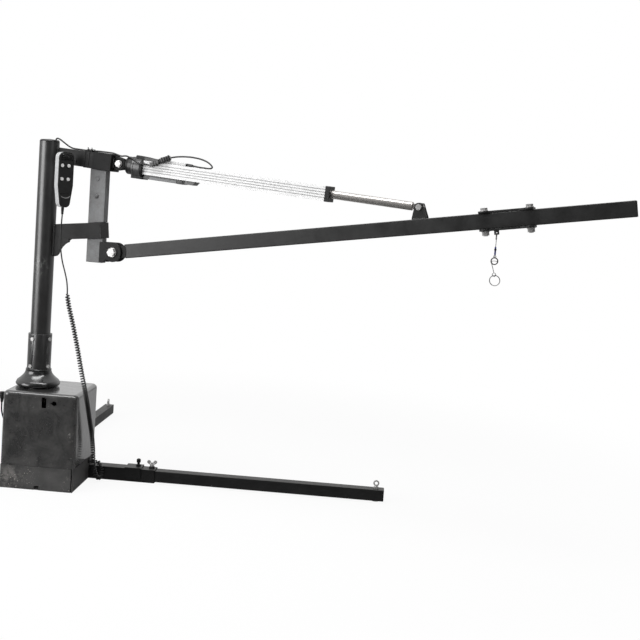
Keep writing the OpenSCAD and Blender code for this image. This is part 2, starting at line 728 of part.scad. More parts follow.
module mast_socket() color([0.12, 0.12, 0.13])
    difference() {
        translate([0, 0, shoulder_z + 2]) cylinder(d = socket_od, h = socket_top - shoulder_z - 2);
        translate([0, 0, shoulder_z]) cylinder(d = socket_id, h = socket_top);
        for (p = socket_screw_places) rotate([0, 0, p[0]]) translate([0, 0, p[1]])
            rotate([0, 90, 0]) cylinder(d = 8, h = socket_od);
    }

socket_screw_places = [[-110, socket_top - 16], [-20, socket_top - 16], [70, socket_top - 16], [160, socket_top - 16],
    [-25, bell_top + 12], [-115, bell_top + 12], [65, bell_top + 12], [155, bell_top + 12]];

module socket_screws() color("silver")
    for (p = socket_screw_places) rotate([0, 0, p[0]]) translate([mast_r, 0, p[1]]) rotate([0, 90, 0]) {
        cylinder(d = 8 - 2 * run_gap, h = socket_od / 2 - mast_r + 1);
        translate([0, 0, socket_od / 2 - mast_r]) cylinder(d = 12, h = 3.5);
    }

module bell_skirt() color([0.08, 0.08, 0.09])
    rotate_extrude($fn = 64) difference() {
        polygon(concat(
            [[socket_od / 2 + fit_gap, bell_z + 2], [socket_od / 2 + fit_gap, bell_top + 2],
             [socket_od / 2 + 3, bell_top + 2], [socket_od / 2 + 3.5, bell_top - 6]],
            [for (i = [1:7]) let (t = i / 8)
                [socket_od / 2 + 4 + (bell_r - socket_od / 2 - 6) * pow(t, 1.5), bell_top - 8 - (bell_top - bell_z - 24) * t]],
            arc(bell_r - 7, bell_z + 8, 7, 40, -90, 6)));
        translate([socket_od / 2 + fit_gap + 3, bell_z - 1]) polygon([[0, 0], [bell_r - socket_od / 2 - 11, 0],
            [bell_r - socket_od / 2 - 11, 8], [6, 30], [0, 36]]);
    }

module mast_tube() color([0.1, 0.1, 0.1])
    translate([0, 0, tube_z]) difference() {
        cylinder(d = mast_od, h = mast_top - tube_z, $fn = 64);
        translate([0, 0, -1]) cylinder(d = mast_id, h = mast_top - tube_z + 2, $fn = 64);
    }

module mast_cap() color([0.08, 0.08, 0.08])
    translate([0, 0, mast_top]) {
        rotate_extrude($fn = 64) polygon(concat([[0, 0], [mast_r, 0]], arc(mast_r - 7, 1, 7, 0, 60, 5), [[0, 10]]));
        translate([0, 0, -25]) cylinder(d = mast_id - 2 * run_gap, h = 25);
    }

module clear_of_mast() translate([0, -arm_y, 0]) rotate([0, 0, 100])
    cylinder(r = mast_r + 0.02, h = 3 * mast_top, center = true, $fn = 64);

module lower_frame() { translate([lower_end, 0, lower_end_z]) rotate([0, -lower_tilt, 0]) children(); }

module upper_frame() { translate([act_pivot_x, 0, act_pivot_z]) rotate([0, upper_tilt, 0]) children(); }

// Gusset plates under an arm, the near one flush with the arm's side
module gussets(outline) {
    for (y = [-arm_w / 2, 0]) upright_plate(outline, y, gusset_t);
}

// The ogee foot of the lower arm's gussets
module lower_gussets() {
    foot = lower_end_z - (lower_end - gusset_out) * sin(lower_tilt) - arm_h / 2;
    gussets(concat(
        [[5, foot + 20], [gusset_out + 8, foot + 6], [gusset_out, foot - 1]],
        arc(gusset_out + 4, foot - 13, 12, 110, 170, 4),
        arc(gusset_out - 30, foot - 24, 16, 50, 150, 7),
        [[mast_r + 2, foot - lower_gusset + 14], [mast_r - 6, foot - lower_gusset + 4], [5, foot - lower_gusset]]));
}

module lower_arm() color([0.13, 0.13, 0.14]) arm_plane() {
    difference() {
        lower_frame() tube_x(5 - lower_end, 0, arm_w, arm_h, arm_wall);
        clear_of_mast();
    }
    difference() {
        lower_gussets();
        lower_frame() bar(-2 * lower_end, lower_end, 2 * arm_w, arm_h - arm_wall);
        clear_of_mast();
    }
}

module arm_end_cap() color([0.05, 0.05, 0.05]) arm_plane() lower_frame() {
    bar(-10, 0, arm_w - 2 * arm_wall - 2 * run_gap, arm_h - 2 * arm_wall - 2 * run_gap);
    bar(0, 2.5, arm_w, arm_h);
}

module upper_arm() color([0.13, 0.13, 0.14]) arm_plane() difference() {
    root = 5 - act_pivot_x;
    under = -arm_h / 2;
    union() {
        upper_frame() tube_x(root, bracket_out - act_pivot_x - 6, arm_w, arm_h, arm_wall);
        upper_frame() gussets([[root, under + 4], [root + upper_gusset_len, under + 4],
            [root + upper_gusset_len - 2, under - 4], [root + 34, under - upper_gusset + 18],
            [root, under - upper_gusset]]);
    }
    clear_of_mast();
}

module post() color([0.2, 0.2, 0.21]) arm_plane() difference() {
    box(post_in, post_out, -post_d / 2, post_d / 2, post_foot, act_pivot_z);
    box(post_in + arm_wall, post_out - arm_wall, -post_d / 2 + arm_wall, post_d / 2 - arm_wall,
        post_foot + 4, act_pivot_z + 1);
    lower_frame() bar(-100, 20, arm_w + 20, arm_h);
    upper_frame() box(-120, 20, -arm_w, arm_w, -arm_h / 2, 3 * arm_h);
    upper_frame() box(bracket_in - act_pivot_x, 20, -arm_w, arm_w, -arm_h / 2 - bracket_wall, arm_h);
}

module actuator_bracket() color([0.1, 0.1, 0.11]) arm_plane() upper_frame() {
    x0 = bracket_in - act_pivot_x;
    x1 = bracket_out - act_pivot_x;
    difference() {
        bar(x0, x1, arm_w + 2 * bracket_wall, arm_h + 2 * bracket_wall);
        bar(x0 - 1, x1 - 5, arm_w, arm_h);
    }
    difference() {
        for (s = [-1, 1]) upright_plate(concat([[x1, 24], [x1, -24]], arc(0, 0, act_ear_r, -60, 60, 12)),
            s * (act_eye_w / 2 + side_gap + ear_t / 2) - ear_t / 2, ear_t);
        cross_pin(act_bolt_d + 2 * run_gap, -40, 40);
    }
}

module boom_ears() color([0.12, 0.12, 0.13]) arm_plane() difference() {
    x0 = post_out - 7;
    for (s = [-1, 1]) upright_plate(concat(
        [[x0, boom_pivot_z + boom_ear_r - 1], [x0, post_foot + 3], [x0 + 19, post_foot + 4], [x0 + 24, post_foot + 13]],
        arc(boom_pivot_x, boom_pivot_z, boom_ear_r, -100, 90, 24)),
        s * (post_d / 2 + ear_t / 2) - ear_t / 2, ear_t);
    translate([boom_pivot_x, 0, boom_pivot_z]) cross_pin(boom_bolt_d + 2 * run_gap, -60, 60);
}

module pivot_bolt(d, grip, head_h) {
    cross_pin(d, -grip / 2, grip / 2 + head_h + 6);
    translate([0, -grip / 2, 0]) rotate([90, 0, 0]) {
        cylinder(d = d * 1.85, h = 2);
        translate([0, 0, 2]) hex_bolt_head(d, head_h);
    }
    translate([0, grip / 2, 0]) rotate([-90, 0, 0]) {
        cylinder(d = d * 1.85, h = 2);
        translate([0, 0, 2]) hex_bolt_head(d, head_h);
    }
}

module boom_pivot_bolt() color("silver") arm_plane() translate([boom_pivot_x, 0, boom_pivot_z])
    pivot_bolt(boom_bolt_d, post_d + 2 * ear_t, 9);

module actuator_pivot_bolt() color("silver") arm_plane() translate([act_pivot_x, 0, act_pivot_z])
    pivot_bolt(act_bolt_d, act_eye_w + 2 * side_gap + 2 * ear_t, 7);

module arm_cable() color([0.08, 0.08, 0.08]) arm_plane() plain_cord(arm_cable_route, arm_cable_d, 8, 26, [0, 1, 0]);

module cable_ties() color([0.06, 0.06, 0.06]) arm_plane() upper_frame()
    for (x = [132, 146]) translate([x - act_pivot_x, 0, 0]) {
        difference() {
            bar(0, 4, arm_w + 3, arm_h + 3);
            bar(-1, 5, arm_w + 0.2, arm_h + 0.2);
            translate([-1, -arm_cable_d, arm_h / 2 - 1]) cube([6, 2 * arm_cable_d, 6]);
        }
        difference() {
            box(0, 4, -arm_cable_d - 1.5, arm_cable_d + 1.5, arm_h / 2 - 0.5 + 0.6, arm_h / 2 + 9);
            box(-1, 5, -arm_cable_d, arm_cable_d, arm_h / 2 - 1, arm_h / 2 + 7.5);
        }
        box(-1, 5, -14, -8, arm_h / 2 + 1.5, arm_h / 2 + 7);
    }

// Hand control, hung beside the upper arm with its face along the boom

module pendant_frame() {
    turned() translate([pendant_x, pendant_y, pendant_z]) rotate([0, 0, pendant_turn]) children();
}

function pendant_outline(inset) = concat(
    arc(pendant_w / 2 - 18, pendant_len - 18, 18 - inset, 0, 90, 8),
    arc(-pendant_w / 2 + 18, pendant_len - 18, 18 - inset, 90, 180, 8),
    [[-pendant_w / 2 + inset, pendant_len * 0.42]],
    arc(-pendant_w / 2 + 24, 22, 16 - inset, 190, 260, 6),
    arc(pendant_w / 2 - 24, 22, 16 - inset, 280, 350, 6),
    [[pendant_w / 2 - inset, pendant_len * 0.42]]);

module pendant_slab(x0, x1, inset) {
    translate([x0, 0, 0]) rotate([90, 0, 90]) linear_extrude(height = x1 - x0) polygon(pendant_outline(inset));
}

button_places = [[-16, 0.765], [7, 0.765], [-16, 0.53], [7, 0.53]];

module pendant_shell() color([0.75, 0.75, 0.76]) pendant_frame() difference() {
    pendant_slab(0, shell_t, 0);
    pendant_slab(shell_wall, shell_t + 1, shell_wall);
    translate([relief_x, 0, 0]) cylinder(d = relief_d + 2 * fit_gap, h = 16);
}

// The dark front panel, and the cord's tapered relief in the shell's foot
module pendant_face() color([0.1, 0.1, 0.1]) pendant_frame() {
    difference() {
        union() {
            pendant_slab(shell_t, pendant_t - 2, 0);
            pendant_slab(pendant_t - 2, pendant_t, 2);
        }
        pendant_slab(shell_t - 1, pendant_t - shell_wall, shell_wall);
        for (p = button_places) translate([pendant_t - face_t, p[0], pendant_len * p[1]]) rotate([0, 90, 0])
            cylinder(d = button_d + 2 * fit_gap, h = 2 * face_t);
    }
    foot = relief_z - pendant_z;
    translate([relief_x, 0, foot]) {
        cylinder(d1 = 7, d2 = relief_d, h = 4 - foot);
        translate([0, 0, 4 - foot]) cylinder(d = relief_d, h = 8);
        translate([0, 0, 9.8 - foot]) cylinder(d = relief_d + 3, h = 2.4);
    }
}

module button(i) {
    p = button_places[i];
    color([0.9, 0.9, 0.88]) pendant_frame() translate([0, p[0], pendant_len * p[1]]) rotate([0, 90, 0]) {
        translate([0, 0, pendant_t - shell_wall - fit_gap - 1.4]) cylinder(d = button_d + 3, h = 1.4);
        translate([0, 0, pendant_t - face_t]) cylinder(d = button_d, h = face_t + button_travel);
    }
}

module button_1() button(0);
module button_2() button(1);
module button_3() button(2);
module button_4() button(3);

// Bent strip from the upper arm's near side to the stud on the control's back
module pendant_hook() color("silver") {
    arm_side = arm_y - arm_w / 2;
    reach = (arm_side - pendant_y + (hook_gap + 2) * sin(pendant_turn)) / cos(pendant_turn) - 0.1;
    foot_x = pendant_x - (hook_gap + 1) * cos(pendant_turn) - reach * sin(pendant_turn);
    turned() box(foot_x - 11, foot_x + 11, arm_side - 2, arm_side, hook_z - 6, hook_z + 6);
    pendant_frame() translate([-hook_gap, 0, hook_z - pendant_z]) {
        box(-2, 0, -10, reach, -6, 6);
        box(-2, 3, -10, 10, -6, -3);
        box(0, hook_gap, -5, 5, -3, 3);
        translate([-2, 0, 0]) rotate([0, -90, 0]) cylinder(d = 9, h = 4);
    }
}

// Boom

module boom_tube() color([0.11, 0.11, 0.12]) boom_frame() difference() {
    tube_x(boom_cope - 30, boom_len, boom_side, boom_side, boom_wall);
    cross_pin(2 * boom_cope, -boom_side, boom_side);
    clamp_bolt_places() translate([0, 0, -boom_side]) cylinder(d = clamp_bolt_d + 2 * run_gap, h = 2 * boom_side);
}

module boom_knuckle() color([0.15, 0.15, 0.16]) boom_frame() difference() {
    union() {
        cross_pin(2 * knuckle_r, -knuckle_w / 2, knuckle_w / 2);
        bar(0, boom_cope + 6, knuckle_w, 2 * knuckle_r - 6);
        bar(boom_cope + 6, boom_cope + 90, boom_in - 2 * run_gap, boom_in - 2 * run_gap);
    }
    cross_pin(boom_bolt_d + 2 * run_gap, -60, 60);
}

module rod_bracket() color([0.1, 0.1, 0.1]) boom_frame() difference() {
    for (s = [-1, 1]) upright_plate(concat(
        [[rod_pivot_x + 21, boom_top], [rod_pivot_x + 21, boom_top + 4]],
        arc(rod_pivot_x + 9, rod_pivot_z + 7, 4, 10, 80, 4), arc(rod_pivot_x, rod_pivot_z, rod_ear_r, 100, 175, 8),
        [[rod_pivot_x - 23, boom_top + 4], [rod_pivot_x - 23, boom_top]]),
        s * (rod_ear_in + rod_ear_t / 2) - rod_ear_t / 2, rod_ear_t);
    translate([rod_pivot_x, 0, rod_pivot_z]) cross_pin(act_bolt_d - 2 + 2 * run_gap, -60, 60);
}

// The bolt at the opened pivot: a head and a nut, each with the stub in its own ear
module rod_bracket_bolt() color("silver") boom_frame() translate([rod_pivot_x, 0, rod_pivot_z])
    for (s = [0, 1]) mirror([0, s, 0]) {
        translate([0, -rod_ear_in - rod_ear_t, 0]) cross_pin(act_bolt_d - 2, 0, rod_ear_t);
        translate([0, -rod_ear_in - rod_ear_t, 0]) rotate([90, 0, 0]) {
            cylinder(d = act_bolt_d + 6, h = 1.5);
            translate([0, 0, 1.5]) hex_bolt_head(act_bolt_d - 2, 6);
        }
    }

clamp_nose_r = 13;
module clamp_bolt_places() {
    for (x = [clamp_x + clamp_nose_r, clamp_x + clamp_len - clamp_nose_r]) translate([x, 0, 0]) children();
}

// Outline of a clamp plate: a waist as wide as the boom and a rounded nose on each side of each bolt
function clamp_outline(near, far, w, waist, r) = concat(
    arc(near, r - w, r, 180, 360, 8), [[near + 2 * r, -waist], [far - 2 * r, -waist]], arc(far, r - w, r, 180, 360, 8),
    arc(far, w - r, r, 0, 180, 8), [[far - 2 * r, waist], [near + 2 * r, waist]], arc(near, w - r, r, 0, 180, 8));

module clamp_plates() color([0.1, 0.1, 0.1]) boom_frame() {
    difference() {
        for (z = [boom_top, -boom_top - clamp_t]) translate([clamp_x, 0, z]) linear_extrude(height = clamp_t)
            polygon(clamp_outline(clamp_nose_r, clamp_len - clamp_nose_r, clamp_w / 2, boom_side / 2, clamp_nose_r));
        clamp_bolt_places() translate([0, 0, -2 * boom_side])
            cylinder(d = clamp_bolt_d + 2 * run_gap, h = 4 * boom_side);
    }
    clamp_lug();
}

module clamp_bolts() color("silver") boom_frame() clamp_bolt_places() {
    h = boom_top + clamp_t;
    translate([0, 0, -h - 14]) cylinder(d = clamp_bolt_d, h = 2 * h + 14);
    translate([0, 0, h]) {
        cylinder(d = 24, h = 2);
        translate([0, 0, 2]) hex_bolt_head(clamp_bolt_d, 7.5);
    }
    translate([0, 0, -h - 2]) cylinder(d = 24, h = 2);
    translate([0, 0, -h - 12]) hex_bolt_head(clamp_bolt_d, 10);
}

// Eye lug under the lower clamp plate
lug_hole_z = -7;
module clamp_lug() {
    translate([lanyard_x, lanyard_y, -boom_top - clamp_t]) difference() {
        box(-7, 7, -1.5, 1.5, -12, 1);
        translate([0, 0, lug_hole_z]) cross_pin(4.4, -3, 3);
    }
}

// Safety pin's tether: a ring through the lug, a wire, a sleeve, the pin's coil, leg and eye, and a split ring
pin_d = 2;
module wire_loop(d_out, wire) {
    rotate([90, 0, 0]) difference() {
        cylinder(d = d_out, h = wire, center = true);
        cylinder(d = d_out - 2 * wire, h = 2 * wire, center = true);
    }
}

module lanyard() color([0.6, 0.6, 0.62]) boom_frame()
    translate([lanyard_x, lanyard_y, -boom_top - clamp_t + lug_hole_z]) rotate([0, boom_pitch, 0]) {
        translate([0, 0, -6]) rotate([0, 0, 90]) wire_loop(14, pin_d + 0.4);
        translate([0, 0, -70]) cylinder(d = pin_d, h = 58);
        translate([0, 0, -62]) cylinder(d = 5, h = 23);
        translate([0, 0, -79]) wire_loop(22, 5);
        translate([0, 0, -79]) cross_pin(12.2, -1, 1);
        translate([-7, 0, -85]) rotate([0, 163, 0]) cylinder(d = pin_d, h = 29);
        translate([2, 0, -117]) wire_loop(12, 3);
        translate([5, 0, -133]) wire_loop(31, 1.6);
        translate([4, 0, -119.5]) rotate([0, 90, 0]) wire_loop(3.4, 1);
    }

// Actuator

module actuator_eye() color("silver") act_frame() difference() {
    union() {
        cross_pin(2 * rod_eye_r, -act_eye_w / 2, act_eye_w / 2);
        bar(0, 30, act_eye_w, 20);
    }
    cross_pin(act_bolt_d + 2 * run_gap, -40, 40);
}

module actuator_gearcase() color([0.12, 0.12, 0.13]) act_frame() difference() {
    union() {
        translate([30, 0, 0]) rotate([0, 90, 0]) cylinder(d = 56, h = 22);
        translate([52, 0, -3]) rotate([0, 90, 0]) cylinder(d = 64, h = 34);
        translate([86, 0, -5]) rotate([0, 90, 0]) cylinder(d = 66, h = act_tube_x - 86);
        box(52, act_tube_x, -20, 20, -38, 0);
    }
    translate([48, 0, 0]) rotate([0, 90, 0]) cylinder(d = screw_d + 8, h = 100);
}

module actuator_motor() color([0.15, 0.15, 0.16]) act_frame() {
    h = act_side / 2;
    strip_end = act_tube_x + motor_len;
    nose_foot = -h - motor_h + 1;
    box(act_tube_x, strip_end, -17, 17, -h - motor_h, -h);
    upright_plate([[strip_end - 1, -h], [strip_end + motor_nose, -h], [strip_end + motor_nose - 10, nose_foot],
        [strip_end - 1, nose_foot]], -14, 28);
    box(act_tube_x, act_tube_x + housing_len, -19, 19, h, h + 10);
    box(act_tube_x + housing_len, strip_end, -19, -1, h, h + 8);
}

module actuator_tube() color([0.85, 0.85, 0.86]) act_frame() difference() {
    bar(act_tube_x, act_tube_end, act_side, act_side);
    for (z = [-12, -4, 4, 12], s = [-1, 1])
        translate([0, s * act_side / 2, z]) bar(act_tube_x - 1, act_tube_end + 1, 2, 3);
    translate([act_tube_x - 1, 0, 0]) rotate([0, 90, 0]) cylinder(d = act_bore, h = act_tube_len + 2);
}

module actuator_end_cap() color([0.08, 0.08, 0.08]) act_frame() difference() {
    bar(act_tube_end, act_tube_end + act_cap_len, act_side + 3, act_side + 3);
    translate([act_tube_end - 1, 0, 0]) rotate([0, 90, 0]) cylinder(d = rod_d + 2 * run_gap, h = act_cap_len + 2);
}

module lead_screw() color([0.6, 0.6, 0.6]) act_frame()
    translate([52, 0, 0]) rotate([0, 90, 0]) {
        cylinder(d = screw_d, h = screw_end - 52);
        cylinder(d = screw_d + 8 - 2 * fit_gap, h = 30);
    }

module actuator_cable() color([0.08, 0.08, 0.08]) act_frame()
    plain_cord(act_cable_route, arm_cable_d, 8, 40, [0.2, 0.97, 0.1]);

module lifting_rod() color([0.75, 0.75, 0.76]) act_frame() difference() {
    union() {
        translate([rod_start, 0, 0]) rotate([0, 90, 0]) cylinder(d = rod_d, h = rod_thick_end - rod_start);
        translate([rod_start, 0, 0]) rotate([0, 90, 0]) cylinder(d = act_bore - 1, h = 24);
        translate([act_len, 0, 0]) cross_pin(2 * rod_eye_r, -rod_eye_w / 2, rod_eye_w / 2);
        bar(rod_thick_end - 2, act_len, rod_eye_w, rod_eye_w);
    }
    translate([rod_start - 1, 0, 0]) rotate([0, 90, 0]) cylinder(d = screw_d + 2 * run_gap, h = screw_end - rod_start + rod_travel);
    translate([act_len, 0, 0]) cross_pin(act_bolt_d, -40, 40);
}

base_frame();
plinth();
cover();
spindle_bearings();
slew_motor();
control_box();
receiver_right();
receiver_back();
receiver_straps();
cord_gland();
power_plug();
power_lead();
pendant_cord();
pendant_cord_curls();
leg_right();
leg_back();
level_bolt_right();
level_bolt_back();
thumb_screw_right();
thumb_screw_back();
slew_pinion();
spindle();
slew_gear();
mast_socket();
socket_screws();
bell_skirt();
mast_tube();
mast_cap();
lower_arm();
upper_arm();
arm_end_cap();
post();
actuator_bracket();
boom_ears();
boom_pivot_bolt();
actuator_pivot_bolt();
arm_cable();
cable_ties();
pendant_hook();
pendant_shell();
pendant_face();
button_1();
button_2();
button_3();
button_4();
boom_tube();
boom_knuckle();
rod_bracket();
rod_bracket_bolt();
clamp_plates();
clamp_bolts();
lanyard();
actuator_eye();
actuator_gearcase();
actuator_motor();
actuator_tube();
actuator_end_cap();
lead_screw();
actuator_cable();
lifting_rod();
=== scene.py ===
"""Looks for the pickup bed crane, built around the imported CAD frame."""
import math
import random

import bmesh
import bpy
from mathutils import Matrix, Vector

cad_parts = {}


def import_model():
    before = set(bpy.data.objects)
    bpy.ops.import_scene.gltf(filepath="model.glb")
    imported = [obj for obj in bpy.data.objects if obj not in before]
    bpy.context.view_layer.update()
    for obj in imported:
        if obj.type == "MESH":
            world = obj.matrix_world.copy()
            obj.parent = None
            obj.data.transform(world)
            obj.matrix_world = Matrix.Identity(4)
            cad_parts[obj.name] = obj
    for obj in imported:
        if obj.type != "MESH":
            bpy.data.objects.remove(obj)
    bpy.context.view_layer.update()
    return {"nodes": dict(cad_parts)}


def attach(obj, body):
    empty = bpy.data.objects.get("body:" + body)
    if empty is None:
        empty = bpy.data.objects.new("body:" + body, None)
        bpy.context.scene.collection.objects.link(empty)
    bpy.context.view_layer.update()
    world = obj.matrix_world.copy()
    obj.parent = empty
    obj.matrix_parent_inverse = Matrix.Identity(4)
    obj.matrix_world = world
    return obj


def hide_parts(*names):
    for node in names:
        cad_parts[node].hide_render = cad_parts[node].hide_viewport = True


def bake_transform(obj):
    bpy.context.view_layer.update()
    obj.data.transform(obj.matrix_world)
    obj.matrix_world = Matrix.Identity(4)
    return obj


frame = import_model()
MM = 0.001

# Frames of the object, in millimetres, as in the part's source
SWING, ARM_Y = math.radians(-16), 25.0
BOOM_PIVOT, BOOM_PITCH = (249.0, 778.0), math.radians(8.9)
ACT_PIVOT, ACT_DROP = (253.0, 1061.0), math.radians(4.146)
UPPER_TILT = math.radians(4)
PENDANT_AT, PENDANT_TURN = (81, -42, 905), math.radians(-24)
BOOM_TOP, CLAMP_X = 22.225, 1181.0
LUG_PAST, LUG_SIDE, LUG_DROP = 47, 18, 13
TIES_AT, POST_FACE_Y = (132, 146), -12.7
FACE_X, PENDANT_H = 25.0, 181


def world(x, y, z):
    return Vector((x, y, z)) * MM


def turned(x, y, z):
    """A point of the mast's frame, which stands turned on the base."""
    c, s = math.cos(SWING), math.sin(SWING)
    return Vector((c * x - s * y, s * x + c * y, z)) * MM


def arm(x, y, z):
    """A point of the arms' plane, which lies beside the mast's axis."""
    return turned(x, y + ARM_Y, z)


def tilted(pivot, rise, x, y, z):
    """A point of a frame that rises from a pivot in the arm's plane."""
    c, s = math.cos(rise), math.sin(rise)
    return arm(pivot[0] + x * c - z * s, y, pivot[1] + x * s + z * c)


def boom(x, y, z):
    return tilted(BOOM_PIVOT, BOOM_PITCH, x, y, z)


def act(x, y, z):
    return tilted(ACT_PIVOT, -ACT_DROP, x, y, z)


def upper(x, y, z):
    return tilted(ACT_PIVOT, -UPPER_TILT, x, y, z)


def tether(x, y, z):
    """From the lug's hole under the boom, with z straight up."""
    c, s = math.cos(BOOM_PITCH), math.sin(BOOM_PITCH)
    lug_x, lug_z = CLAMP_X + LUG_PAST, -BOOM_TOP - LUG_DROP
    x0, z0 = BOOM_PIVOT
    return arm(x0 + lug_x * c - lug_z * s + x, y - LUG_SIDE, z0 + lug_x * s + lug_z * c + z)


def pendant(x, y, z):
    """A point of the hand control, with x out of its face."""
    c, s = math.cos(PENDANT_TURN), math.sin(PENDANT_TURN)
    x0, y0, z0 = PENDANT_AT
    return turned(x0 + c * x - s * y, y0 + s * x + c * y, z0 + z)


# Camera: fitted to the photograph
F_PX, CENTRE_Y, FRAME_PX = 1000.0, 274.1427, 640.0
YAW, PITCH, ROLL = -0.0550665, -0.0735519, 0.0692988
CAM_AT = Vector((1.0835480, -3.2113689, 0.9898537))
SENSOR_MM = 36


def make_camera():
    """The camera, looking along its yaw and pitch and rolled about its own axis."""
    fwd = Vector((math.sin(YAW) * math.cos(PITCH), math.cos(YAW) * math.cos(PITCH), math.sin(PITCH)))
    right = Vector((math.cos(YAW), -math.sin(YAW), 0))
    up = right.cross(fwd)
    r2 = math.cos(ROLL) * right + math.sin(ROLL) * up
    u2 = -math.sin(ROLL) * right + math.cos(ROLL) * up
    data = bpy.data.cameras.new("camera")
    data.sensor_fit = "HORIZONTAL"
    data.sensor_width = SENSOR_MM
    data.lens = F_PX / FRAME_PX * SENSOR_MM
    data.shift_y = (CENTRE_Y - FRAME_PX / 2) / FRAME_PX
    data.clip_start, data.clip_end = 0.05, 100
    cam = bpy.data.objects.new("camera", data)
    bpy.context.scene.collection.objects.link(cam)
    pose = Matrix((r2, u2, -fwd)).transposed().to_4x4()
    pose.translation = CAM_AT
    cam.matrix_world = pose
    bpy.context.scene.camera = cam


make_camera()

# Mesh helpers


def add_object(name, bm, material, sharp=math.radians(32)):
    """Turns the mesh into an object, smooth but for edges over the sharp angle."""
    mesh = bpy.data.meshes.new(name)
    bmesh.ops.recalc_face_normals(bm, faces=bm.faces)
    bm.normal_update()
    for face in bm.faces:
        face.smooth = True
    for edge in bm.edges:
        if len(edge.link_faces) == 2 and edge.calc_face_angle(0) > sharp:
            edge.smooth = False
    bm.to_mesh(mesh)
    bm.free()
    obj = bpy.data.objects.new(name, mesh)
    bpy.context.scene.collection.objects.link(obj)
    mesh.materials.append(material)
    return obj


def on_curve(route, s):
    """The point at share s of a smooth curve through the route."""
    n = len(route) - 1
    u = min(max(s, 0.0), 0.999999) * n
    i = int(u)
    t = u - i
    a, b = route[max(i - 1, 0)], route[i]
    c, d = route[min(i + 1, n)], route[min(i + 2, n)]
    return 0.5 * (2 * b + (c - a) * t + (2 * a - 5 * b + 4 * c - d) * t ** 2
                  + (3 * b - a - 3 * c + d) * t ** 3)


def smooth_route(points, steps):
    return [on_curve(points, i / steps) for i in range(steps + 1)]


def path_length(points):
    return sum((b - a).length for a, b in zip(points, points[1:]))


def heading(points, i):
    a, b = points[max(i - 1, 0)], points[min(i + 1, len(points) - 1)]
    return (b - a).normalized()


def bridge(bm, ra, rb, shift=0):
    """Faces between two rings of equal count."""
    n = len(ra)
    for k in range(n):
        bm.faces.new((ra[k], ra[(k + 1) % n], rb[(k + 1 + shift) % n], rb[(k + shift) % n]))


def cap(bm, rings):
    """Faces over the first and the last ring."""
    bm.faces.new(list(reversed(rings[0])))
    bm.faces.new(rings[-1])


def ring_of(centre, u, v, r, steps):
    return [centre + (u * math.cos(2 * math.pi * i / steps) + v * math.sin(2 * math.pi * i / steps)) * r
            for i in range(steps)]


def rings_into(bm, points, radii, sides, closed=False):
    """A tube through the points, its rings carried along without twist."""
    n = len(points)
    direction = heading(points, 0)
    side = direction.cross(Vector((0.31, 0.2, 0.93))).normalized()
    rings = []
    for i, p in enumerate(points):
        if closed:
            new_dir = (points[(i + 1) % n] - points[i - 1]).normalized()
        else:
            new_dir = heading(points, i)
        side = (side - new_dir * side.dot(new_dir)).normalized()
        other = new_dir.cross(side)
        rings.append([bm.verts.new(q) for q in ring_of(p, side, other, radii[i], sides)])
    pairs = list(zip(rings, rings[1:])) + ([(rings[-1], rings[0])] if closed else [])
    for ra, rb in pairs:
        shift = 0
        if closed and rb is rings[0]:
            shift = min(range(sides), key=lambda q: (ra[0].co - rb[q].co).length)
        bridge(bm, ra, rb, shift)
    if not closed:
        cap(bm, rings)


def tube(name, points, radius, material, sides=10, closed=False, radii=None):
    bm = bmesh.new()
    rings_into(bm, points, radii or [radius] * len(points), sides, closed=closed)
    return add_object(name, bm, material, sharp=math.radians(50))


def frame_at(axis):
    """The axis at unit length and two directions square to it."""
    axis = axis.normalized()
    u = axis.cross(Vector((0, 0, 1)))
    if u.length < 1e-4:
        u = axis.cross(Vector((1, 0, 0)))
    u.normalize()
    return axis, u, axis.cross(u)


def lathe_into(bm, origin, axis, profile, sides):
    """Turns a profile of (distance along, radius) round the axis."""
    axis, u, v = frame_at(axis)
    rings = []
    for t, r in profile:
        c = origin + axis * t
        points = [c] if r <= 1e-7 else ring_of(c, u, v, r, sides)
        rings.append([bm.verts.new(p) for p in points])
    for ra, rb in zip(rings, rings[1:]):
        if len(ra) == len(rb) == 1:
            continue
        if len(ra) == len(rb):
            bridge(bm, ra, rb)
            continue
        for k in range(sides):
            q = (k + 1) % sides
            bm.faces.new((ra[0], rb[q], rb[k]) if len(ra) == 1 else (ra[k], ra[q], rb[0]))


def lathe(name, origin, axis, profile, material, sides):
    bm = bmesh.new()
    lathe_into(bm, origin, axis, [(t * MM, r * MM) for t, r in profile], sides)
    return add_object(name, bm, material, sharp=math.radians(28))


def rounded_rect(w, h, r, steps=5):
    out = []
    for cx, cy, a0 in ((w / 2 - r, h / 2 - r, 0), (-w / 2 + r, h / 2 - r, 90),
                       (-w / 2 + r, -h / 2 + r, 180), (w / 2 - r, -h / 2 + r, 270)):
        for i in range(steps + 1):
            a = math.radians(a0 + 90 * i / steps)
            out.append((cx + r * math.cos(a), cy + r * math.sin(a)))
    return out


def loft_into(bm, sections, place):
    """Joins outlines of equal count, each (t, [(a, b), ...]), with place giving the point."""
    rings = [[bm.verts.new(place(t, a, b)) for a, b in outline] for t, outline in sections]
    for ra, rb in zip(rings, rings[1:]):
        bridge(bm, ra, rb)
    cap(bm, rings)


def loft(name, sections, place, material):
    bm = bmesh.new()
    loft_into(bm, sections, place)
    return add_object(name, bm, material, sharp=math.radians(35))


# Materials


